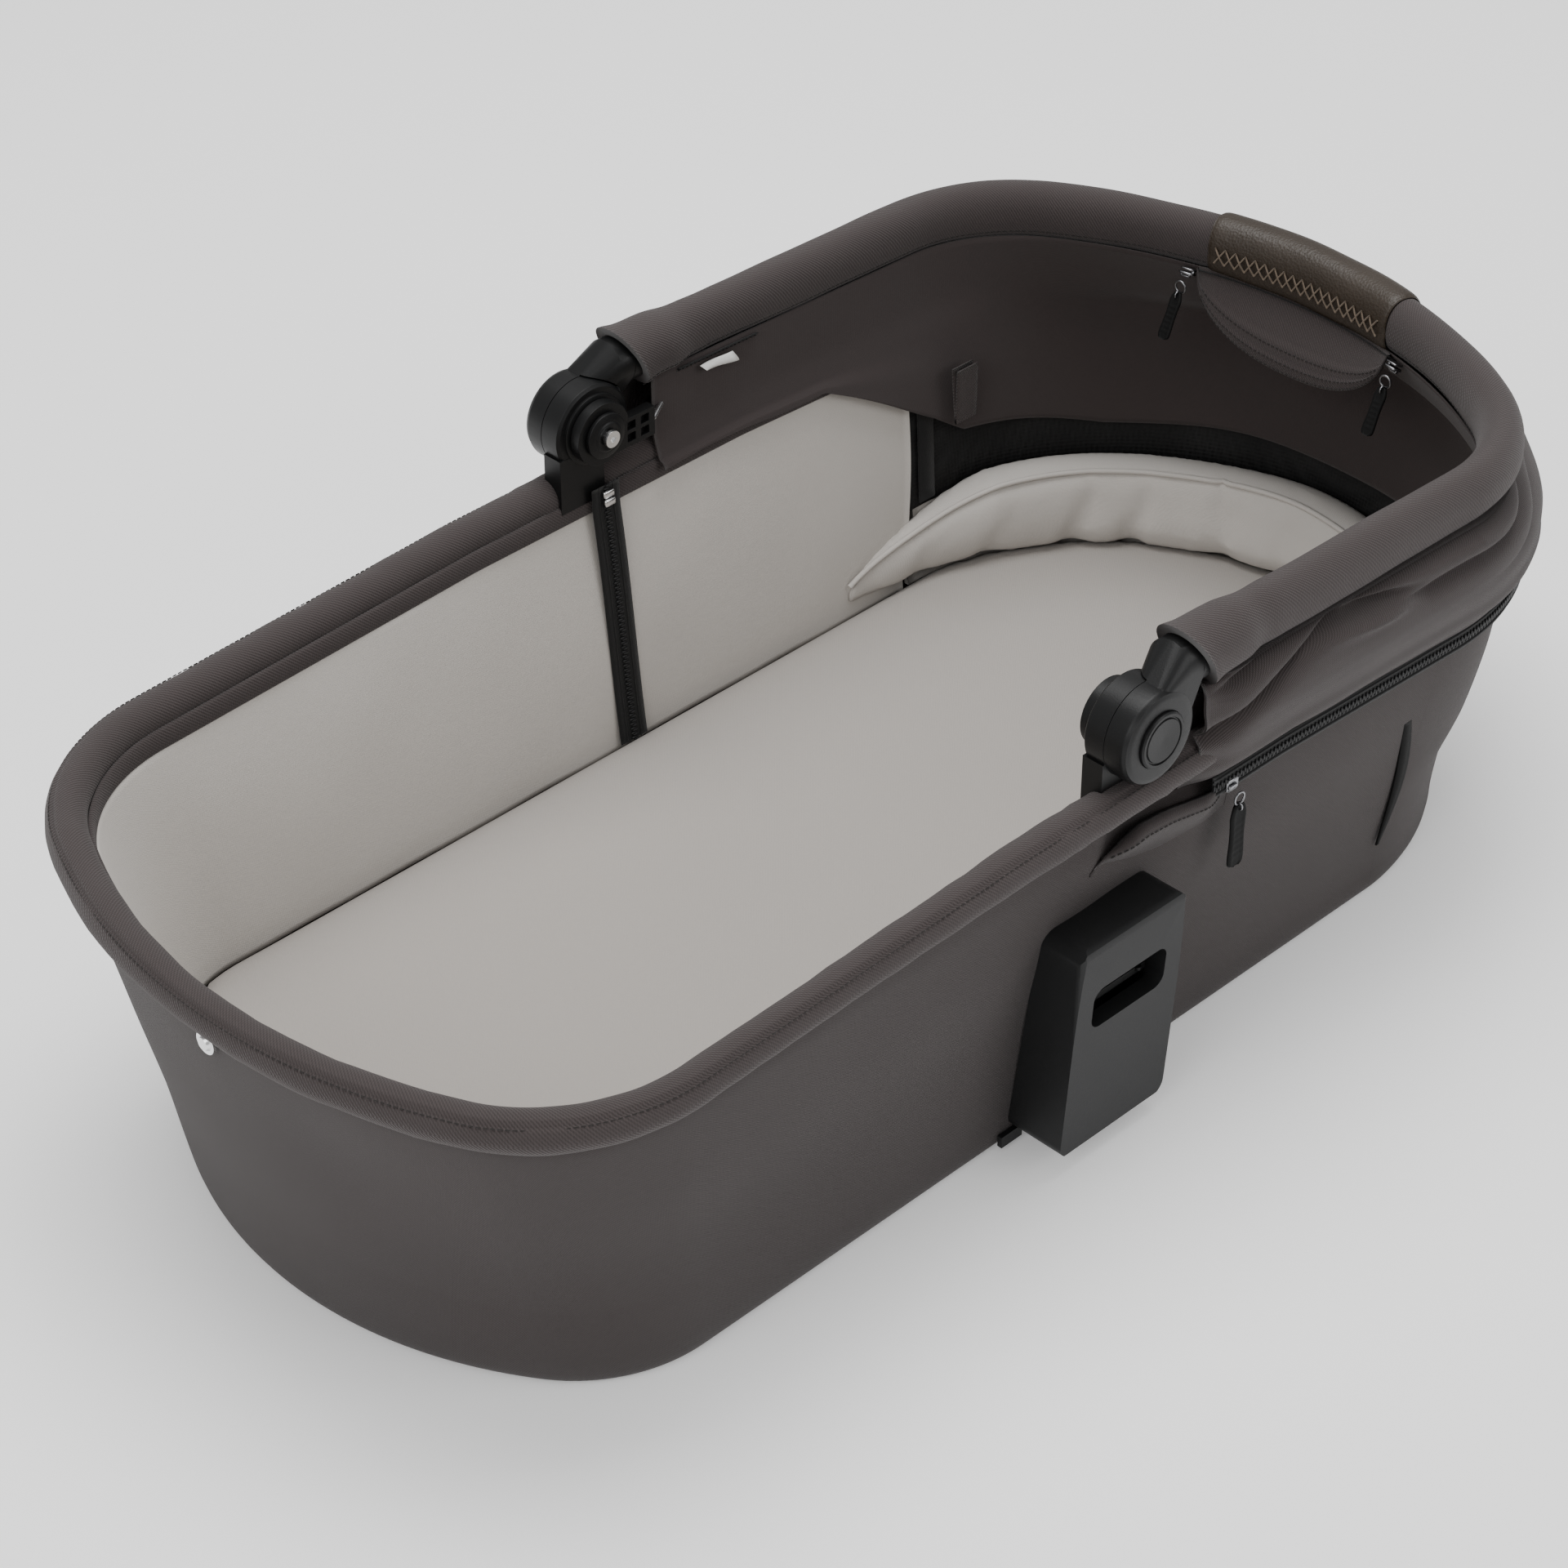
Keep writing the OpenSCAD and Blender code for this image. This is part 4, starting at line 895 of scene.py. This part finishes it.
def hub_flaps():
    """The free upper edge of the tub cloth, which dips below each hub to the zip."""
    n, deep = 80, 22
    t = np.linspace(0, 1, n)
    x = -0.041 + 0.107 * t
    top = np.interp(x, [-0.041, -0.033, -0.022, -0.010, 0.010, 0.035, 0.052, 0.066],
                    [0.1745, 0.1830, 0.1890, 0.1925, 0.1905, 0.1850, 0.1810, 0.1780])
    for _ in range(6):
        top[1:-1] = (top[:-2] + top[1:-1] * 2 + top[2:]) / 4
    stand = 0.0090 * smooth(0, 0.22, t) * smooth(1.0, 0.72, t)
    for s, side in SIDES:
        rows = []
        for v in np.linspace(0, 1, deep):
            z = top - 0.030 * v * smooth(-0.1, 0.35, t)
            lip = 1 - math.exp(-v / 0.06) * 0.55
            # the flap lies on the tub's straight side, which leans out with height
            y = FLAP_Y + SIDE_SLOPE * z + stand * lip * (1 - smooth(0.12, 1.0, v)) - 0.0012 * v
            rows.append(np.column_stack([x, s * y, z]))
        p = np.array(rows)
        p[..., 1] += s * wobble(p, (0.03, 0.03, 0.012), 87 + s, 2) * 0.0007 * np.linspace(1, 0, deep)[:, None]
        roll = [p[0] + np.column_stack([0 * x, -s * k * np.minimum(stand * 0.45, 0.004),
                                        np.full(n, -0.0022 * math.sin(k * 2.2))]) for k in (1.0, 0.7, 0.35)]
        back = p[::-1] - np.array([0, s * 0.0014, 0])
        obj = slab("hub_flap_" + side, np.concatenate([p, back[:-1], roll]), M["shell"], flip=s < 0)
        place(obj, "tub", "shell_fabric")
        seam = p[4][8:-10] + np.array([0, s * 0.0006, 0])
        stitches("hub_flap_thread_" + side, seam, (0, s, 0), "tub", "shell_fabric")


hub_flaps()

# ---------------------------------------------------------------- bow


def tilt(p):
    """From the bow's flat frame (height above the leg line) into place."""
    p = np.asarray(p, float)
    dx, dz = p[..., 0] - PIVOT[0], p[..., 2] + LEG_RISE
    out = p.copy()
    out[..., 0] = PIVOT[0] + dx * math.cos(DIP) + dz * math.sin(DIP)
    out[..., 2] = PIVOT[1] - dx * math.sin(DIP) + dz * math.cos(DIP)
    return out


def turned(path, v):
    """Vectors at a path of the bow's flat frame, turned with it into place."""
    return tilt(path + v) - tilt(path)


def oval(sides, power):
    """Points of a rounded section with half sizes of 1; a power below 1 squares it."""
    a = np.arange(sides) / sides * TAU
    c, s = np.cos(a), np.sin(a)
    return zip(np.sign(c) * np.abs(c) ** power, np.sign(s) * np.abs(s) ** power)


def bow_sleeve():
    start, sides = 0.021, 44
    st = run_stations(start / HEAD_BOW[1], 90, 240)
    xy, nrm = run_outline(HEAD_BOW, st), run_normals(st)
    x = xy[:, 0]
    leg = np.array([abs(k) for k, _, _ in st])
    cuff = leg * (1 - smooth(0.040, 0.075, x))
    flare = leg * np.exp(-((x - start) / 0.006) ** 2) * 0.0014
    w = 0.0122 + (0.0172 - 0.0122) * cuff + flare
    h = 0.0162 + (0.0174 - 0.0162) * cuff + flare
    p = np.array([np.column_stack([xy + nrm * (u * w)[:, None], v * h]) for u, v in oval(sides, 0.9)])
    s = along(p[0], closed=False)
    bump = wobble(p, (0.05, 0.05, 0.03), 91, 3) * 0.0004
    bump += np.sin(s / 0.0042)[None] * 0.00035 * np.exp(-((x - 0.06) / 0.02) ** 2)[None] * leg[None]
    out = unit(p - flat(xy)[None])
    p += out * bump[..., None]
    # the cuffs are cut on a slant
    p[..., 0] += (leg * smooth(0.085, start, x))[None] * (-0.50 * p[..., 2])
    girth = 0.092
    obj = slab("bow_sleeve_cloth", tilt(p), M["sleeve"], u=s, v=np.arange(sides + 1) / sides * girth)
    place(obj, "bow", "sleeve_fabric", "bow_sleeve")
    for degrees, nm in ((216, "low"), (248, "under")):
        k = int(degrees / 360 * sides)
        line = p[k] + out[k] * 0.0002
        stitches("sleeve_thread_" + nm, tilt(line), turned(line, out[k]), "bow", "sleeve_fabric",
                 0.0036, 0.0026, 0.0005)


# The bow's crown between its corners is one arc.
BOW_CORNER = HEAD_BOW[3]
BOW_ARC = HEAD_BOW[2] - HEAD_BOW[1] - BOW_CORNER
CROWN_R = ((HEAD_BOW[0] - BOW_CORNER) ** 2 + BOW_ARC ** 2) / (2 * BOW_ARC) + BOW_CORNER
CROWN_X = HEAD_BOW[2] - CROWN_R


def crown_at(r, ang, z):
    """Points at radius r and the angles ang round the crown's centre, at height z."""
    return np.column_stack([CROWN_X + r * np.cos(ang), r * np.sin(ang), np.broadcast_to(z, ang.shape)])


def grip():
    half, sides, n = 0.0675, 64, 110
    wide, tall = 0.0143, 0.0184
    end = math.asin(half / CROWN_R)
    ang = np.linspace(-end, end, n)
    t = np.linspace(-1, 1, n)
    body = 1 + 0.02 * np.cos(t * math.pi / 2) - 0.09 * np.abs(t) ** 40
    p = np.array([crown_at(CROWN_R + u * wide * body, ang, v * tall * body) for u, v in oval(sides, 0.85)])
    # the seam where the leather's edges meet, on the inner side
    seam_row = 33
    for r in range(seam_row - 2, seam_row + 3):
        pull_in = 0.0009 * math.exp(-((r - seam_row) / 1.1) ** 2)
        p[r] += flat(np.column_stack([np.cos(ang), np.sin(ang)])) * pull_in
    p[..., 2] += wobble(p, 0.02, 95, 2) * 0.0002
    place(slab("grip_leather_wrap", tilt(p), M["leather"]), "bow", "grip_leather", "grip")
    ys = np.linspace(-0.062, 0.062, 19)
    q = np.linspace(0, 1, 7)
    crosses = []
    for y0, y1 in zip(ys[:-1], ys[1:]):
        for flip, stand in ((1, 0.0006), (-1, 0.0009)):
            y = y0 + (y1 - y0) * q
            r = CROWN_R - 0.0147 - stand * np.sin(q * math.pi)
            seg = crown_at(r, np.arcsin(y / CROWN_R), 0.0050 * flip * (1 - 2 * q) - 0.0006)
            crosses.append(tube("grip_stitch_%02d" % len(crosses), tilt(seg), 0.00055, M["grip_thread"]))
    place(join(crosses, "grip_stitches"), "bow", "grip_leather")


def vent_flap():
    n, deep = 70, 30
    half, fall = 0.070, 0.042
    r0 = CROWN_R - 0.0120
    t = np.linspace(-1, 1, n)
    k = np.sqrt(np.maximum(0.0, 1 - np.abs(t) ** 2.2))
    rows = []
    for v in np.linspace(0, 1, deep):
        lean = -0.008 * k * np.sin(v * math.pi * 0.5) + 0.0016 * np.sin(v * 5 + 1) * k
        # raised hem bands
        band = 0.0011 * smooth(0.80, 0.83, v) - 0.0006 * smooth(0.97, 1.0, v) + 0.0010 * smooth(0.56, 0.59, v)
        rows.append(crown_at(r0 + lean - band, t * math.asin(half / r0), -0.0125 - fall * k * v))
    p = np.array(rows)
    p[:, :, 0] += wobble(p, 0.04, 97, 2) * 0.0005
    back = p[::-1] + np.array([0.0014, 0, 0])
    obj = slab("vent_flap_cloth", tilt(np.concatenate([p, back])), M["sleeve"], flip=True)
    place(obj, "bow", "sleeve_fabric", "vent_flap")
    for i, r in enumerate((19, 24, 28)):
        line = p[r, 3:-3] - np.array([0.0003, 0, 0])
        stitches("vent_thread_%d" % i, tilt(line), (-1, 0, 0), "bow", "sleeve_fabric", 0.003, 0.0021, 0.0005)


def bow_zip():
    """Zips under the bow: a stretch on each leg, and the arc above the vent flap."""
    rep = ("bow_zip",)
    for s, side in SIDES[::-1]:
        x = np.linspace(0.052, 0.112, 40)
        path = np.column_stack([x, np.full(40, s * 0.1935), np.full(40, -0.0166)])
        acr, out = (turned(path, np.array(v)) for v in ([0, s * 0.86, -0.5], [0, -s * 0.5, -0.86]))
        zipper("bow_zip_%s_" + side, tilt(path), acr, out, "bow", 0.0095, 0.0007, 0.0012, 0.0042, *rep)
        rep = ()
    ang = np.linspace(-0.26, 0.26, 60)
    path = crown_at(CROWN_R - 0.0088, ang, -0.0164)
    radial = crown_at(1.0, ang, 0.0) - np.array([CROWN_X, 0, 0])
    down = np.array([0, 0, -1.0])
    acr, out = turned(path, radial * 0.8 + down * 0.6), turned(path, down * 0.8 - radial * 0.6)
    zipper("vent_zip_%s", tilt(path), acr, out, "bow", 0.009, 0.0007, 0.0012, 0.0042)


bow_sleeve()
grip()
vent_flap()
bow_zip()

# ---------------------------------------------------------------- sliders, pulls, small trim


def loft_tab(name, length, width, thick, material):
    """Moulded pull tab: waisted, with a raised rim, ribs and an eye at the top (eye at the origin)."""
    n, m, above = 40, 9, 0.0025
    t = np.linspace(0, 1, n)
    waist = 0.10 * np.sin(np.clip((t - 0.2) / 0.6, 0, 1) * math.pi)
    half = width / 2 * (0.72 + 0.28 * smooth(0.0, 0.22, t) - waist)
    half *= np.sqrt(np.clip(1 - ((t - 0.5) / 0.505) ** 16, 0.02, 1))
    z = above - (length + above) * t
    rows = []
    for side in (1, -1):
        for u in np.linspace(-1, 1, m)[::side]:
            rise = thick / 2 * (0.62 + 0.38 * (abs(u) > 0.72))
            ribs = 0.00018 * (np.sin(t * 62) > 0) * (abs(u) < 0.6) * (t > 0.25) * (t < 0.92)
            edge = 0.25 if abs(u) > 0.99 else 1.0
            rows.append(np.column_stack([half * u, side * (rise + ribs) * edge, z]))
    return slab(name, np.array(rows), material)


def small_ring(name, centre, r, wire, axis, body):
    a = np.linspace(0, TAU, 30, endpoint=False)
    side = Vector(axis).orthogonal().normalized()
    up = Vector(axis).cross(side)
    path = np.array([centre + side * math.cos(q) * r + up * math.sin(q) * r for q in a])
    place(tube(name, path, wire, M["gunmetal"], up=axis, sides=8, closed=True), body, "slider_metal")


def pull(name, node, pivot, body, lean, turn, length, width):
    """Ring, link and tab of a zip pull, hanging below the pivot; lean is about Y, turn about Z."""
    tab = loft_tab(name + "_tab", length, width, 0.0026, M["rubber"])
    swing = Matrix.Translation(pivot) @ Matrix.Rotation(lean, 4, "Y")
    tab.data.transform(swing @ Matrix.Rotation(turn, 4, "Z") @ Matrix.Translation((0, 0, -0.0105)))
    place(tab, body, "pull_rubber", node)
    ring_axis, link_axis = ((1, 0, 0), (0, 1, 0)) if turn else ((0, -1, 0), (1, 0, 0))
    small_ring(name + "_ring", swing @ Vector((0, 0, -0.0050)), 0.0036, 0.00065, ring_axis, body)
    small_ring(name + "_link", swing @ Vector((0, 0, -0.0098)), 0.0021, 0.00055, link_axis, body)


def slider(name, centre, along_dir, out_dir, body, *replaced):
    """Cast slider: two wings, a waist and a bridge."""
    a, o = Vector(along_dir).normalized(), Vector(out_dir).normalized()
    w = a.cross(o)
    # offset along the zip, offset outwards, size
    parts = [(0, 0.0016, (0.0088, 0.0072, 0.0016)), (0, -0.0010, (0.0084, 0.0070, 0.0012)),
             (0.0032, 0.0004, (0.0020, 0.0026, 0.0034)), (-0.001, 0.0034, (0.0058, 0.0022, 0.0012)),
             (-0.0034, 0.0026, (0.0014, 0.0022, 0.0018)), (0.0015, 0.0026, (0.0014, 0.0022, 0.0018))]
    objs = [boxes(name + "_%d" % i, [Vector(centre) + a * da + o * do], [a], [w], [o], size,
                  M["gunmetal"], 0.28) for i, (da, do, size) in enumerate(parts)]
    place(join(objs, name), body, "slider_metal", *replaced)


def sliders_and_pulls():
    low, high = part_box("zip_slider")
    centre = (low + high) / 2 + Vector((0, 0.001, 0))
    slider("rim_zip_slider", centre, (1, 0, 0), (0, -1, 0), "tub", "zip_slider")
    pull("rim_zip_pull", "zip_pull", (0.062, -0.2108, 0.1776), "rim_pull", 0.0, 0.0, 0.037, 0.0125)
    replaced = ("flap_sliders",)
    for s, side in SIDES:
        slider("vent_slider_" + side, (0.3480, s * 0.075, 0.2517), (0.18, -s, 0), (-0.45, 0, -0.9), "bow",
               *replaced)
        pull("vent_pull_" + side, "flap_pull_" + side, (0.3435, s * 0.075, 0.2482), "vent_pull_" + side,
             math.radians(25), math.pi / 2, 0.0265, 0.0082)
        replaced = ()


def loop_strap():
    low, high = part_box("loop_strap")
    t = np.linspace(0, 1, 26)
    z = high.z + 0.006 - (high.z - low.z + 0.004) * np.sin(t * math.pi)
    y = high.y - 0.0036 - 0.0052 * t ** 1.2 - 0.002 * np.sin(t * math.pi)
    path = np.column_stack([np.full(len(t), (low.x + high.x) / 2), y, z])
    side, _, _ = frames_of(path, (1, 0, 0))
    ribbon("loop_strap_web", path, (1, 0, 0), 0.017, 0.0011, side, M["rim"], "tub", "rim_fabric",
           "loop_strap")


def care_label():
    low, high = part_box("care_label")
    k = np.linspace(0, 1, 9)
    rows = []
    for v in np.linspace(0, 1, 7):
        x = low.x + (high.x - low.x) * k + 0.004 * v
        y = (low.y + high.y) / 2 - 0.0016 * np.sin(v * 2.4) + 0.0008 * np.sin(k * 5)
        rows.append(np.column_stack([x, y, high.z - (high.z - low.z) * v * (0.62 - 0.25 * (1 - k))]))
    p = np.array(rows)
    full = np.concatenate([p, p[::-1] + np.array([0, 0.0004, 0])])
    place(slab("care_label_blank", full, M["label"]), "bow", "label_fabric", "care_label")


def wall_strips():
    for s, side in SIDES:
        k = np.linspace(0, 1, 30)
        z = 0.041 + 0.092 * k
        x = 0.2255 + 0.0065 * np.sin(k * math.pi)
        half = 0.001 + 0.0118 * k - 0.0094 * k ** 2
        rows = []
        for du, out in ((-1.05, 0.0008), (-0.95, 0.0019), (0.95, 0.0019), (1.05, 0.0008)):
            pts = []
            for xx, zz in zip(x + du * half, z):
                w = wall(zz, 0)
                near = w[column_at(xx, s, w)]
                pts.append((xx, near[1] + s * out, near[2]))
            rows.append(pts)
        place(slab("strip_film_" + side, np.array(rows), M["strip"], flip=s < 0), "tub",
              "reflective_strip", "strip_" + side)


sliders_and_pulls()


loop_strap()
care_label()
wall_strips()

# ---------------------------------------------------------------- CAD nodes that stay


def refine(node, material, width=0.0006):
    """Weld, bevel and shade a carried-over CAD node; its shape is left alone."""
    obj = NODES[node]
    obj.data.materials.clear()
    obj.data.materials.append(material)
    for poly in obj.data.polygons:
        poly.use_smooth = True
    weld = obj.modifiers.new("weld", "WELD")
    weld.merge_threshold = 0.00001
    if width:
        bevel = obj.modifiers.new("bevel", "BEVEL")
        bevel.width = width
        bevel.segments = 3
        bevel.limit_method = "ANGLE"
        bevel.angle_limit = math.radians(32)
        bevel.harden_normals = True
        bevel.miter_outer = "MITER_ARC"
        even = obj.modifiers.new("even", "WEIGHTED_NORMAL")
        even.keep_sharp = True
for _, side in SIDES:
    for name, mat, width in (("adapter_", "black", 0.0026), ("latch_", "latch", 0.0005),
                             ("latch_spring_", "steel", 0), ("hub_base_", "hub", 0.0006),
                             ("hub_cap_", "hub", 0.0003), ("hub_arm_", "hub", 0.0007),
                             ("hub_button_", "hub", 0.0003), ("button_spring_", "steel", 0),
                             ("rib_arm_", "hub", 0.0005)):
        refine(name + side, M[mat], width)
for name, mat, width in (("adapter_screws", "steel", 0.0002), ("adapter_clips", "black", 0.0004),
                         ("hub_axles", "steel", 0.0002), ("hub_screws", "silver", 0.0003),
                         ("snap_stud", "silver", 0.0003), ("rim_tube", "tube", 0), ("bow_tube", "tube", 0),
                         ("rib_wire", "steel", 0), ("base_board", "board", 0.0005),
                         ("floor_brace", "steel", 0.0002)):
    refine(name, M[mat], width)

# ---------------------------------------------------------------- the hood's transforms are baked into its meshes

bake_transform(HOOD)
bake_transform(LINING)

# ---------------------------------------------------------------- camera, floor, light


def camera():
    az, el, dist = math.radians(-44.786), math.radians(36.364), 2.2276
    target = Vector((-0.0183, 0.0373, 0.0937))
    back = Vector((math.sin(az) * math.cos(el), -math.cos(az) * math.cos(el), math.sin(el)))
    data = bpy.data.cameras.new("camera")
    data.lens = 94.07
    data.sensor_width = 36
    data.clip_end = 50
    cam = bpy.data.objects.new("camera", data)
    cam.location = target + back * dist
    cam.rotation_euler = (-back).to_track_quat("-Z", "Y").to_euler()
    bpy.context.scene.collection.objects.link(cam)
    bpy.context.scene.camera = cam


def area_light(name, where, aim, size, power):
    data = bpy.data.lights.new(name, "AREA")
    data.shape = "RECTANGLE"
    data.size, data.size_y = size
    data.energy = power
    obj = bpy.data.objects.new(name, data)
    obj.location = where
    obj.rotation_euler = (Vector(aim) - Vector(where)).to_track_quat("-Z", "Y").to_euler()
    bpy.context.scene.collection.objects.link(obj)


def floor():
    n = Nodes("studio_floor", 0.9, specular=0.1)
    grain = n.noise(n.coords("Object"), 3, 2)
    col = n.mix(grain, rgb((0.94, 0.94, 0.94)), rgb((0.96, 0.96, 0.96)))
    mat = n.finish(col, n.spread(grain, 0.85, 0.95), grain, 0.00001)
    n.bsdf.inputs["Emission Color"].default_value = (1, 1, 1, 1)
    n.bsdf.inputs["Emission Strength"].default_value = 0.2
    obj = new_object("floor", [(-9, -9, 0), (9, -9, 0), (9, 9, 0), (-9, 9, 0)], [(0, 1, 2, 3)], mat)


camera()
floor()
world = bpy.data.worlds.new("studio")
world.use_nodes = True
world.node_tree.nodes["Background"].inputs[0].default_value = (1.0, 1.0, 1.0, 1)
world.node_tree.nodes["Background"].inputs[1].default_value = 0.55
bpy.context.scene.world = world
area_light("key", (1.1, -2.6, 1.6), (0, 0, 0.12), (1.8, 1.4), 26)
area_light("fill", (-2.4, -0.6, 1.7), (0, 0, 0.1), (1.6, 1.6), 26)
area_light("top", (0.2, 0.4, 2.8), (0, 0, 0.1), (2.2, 1.8), 80)
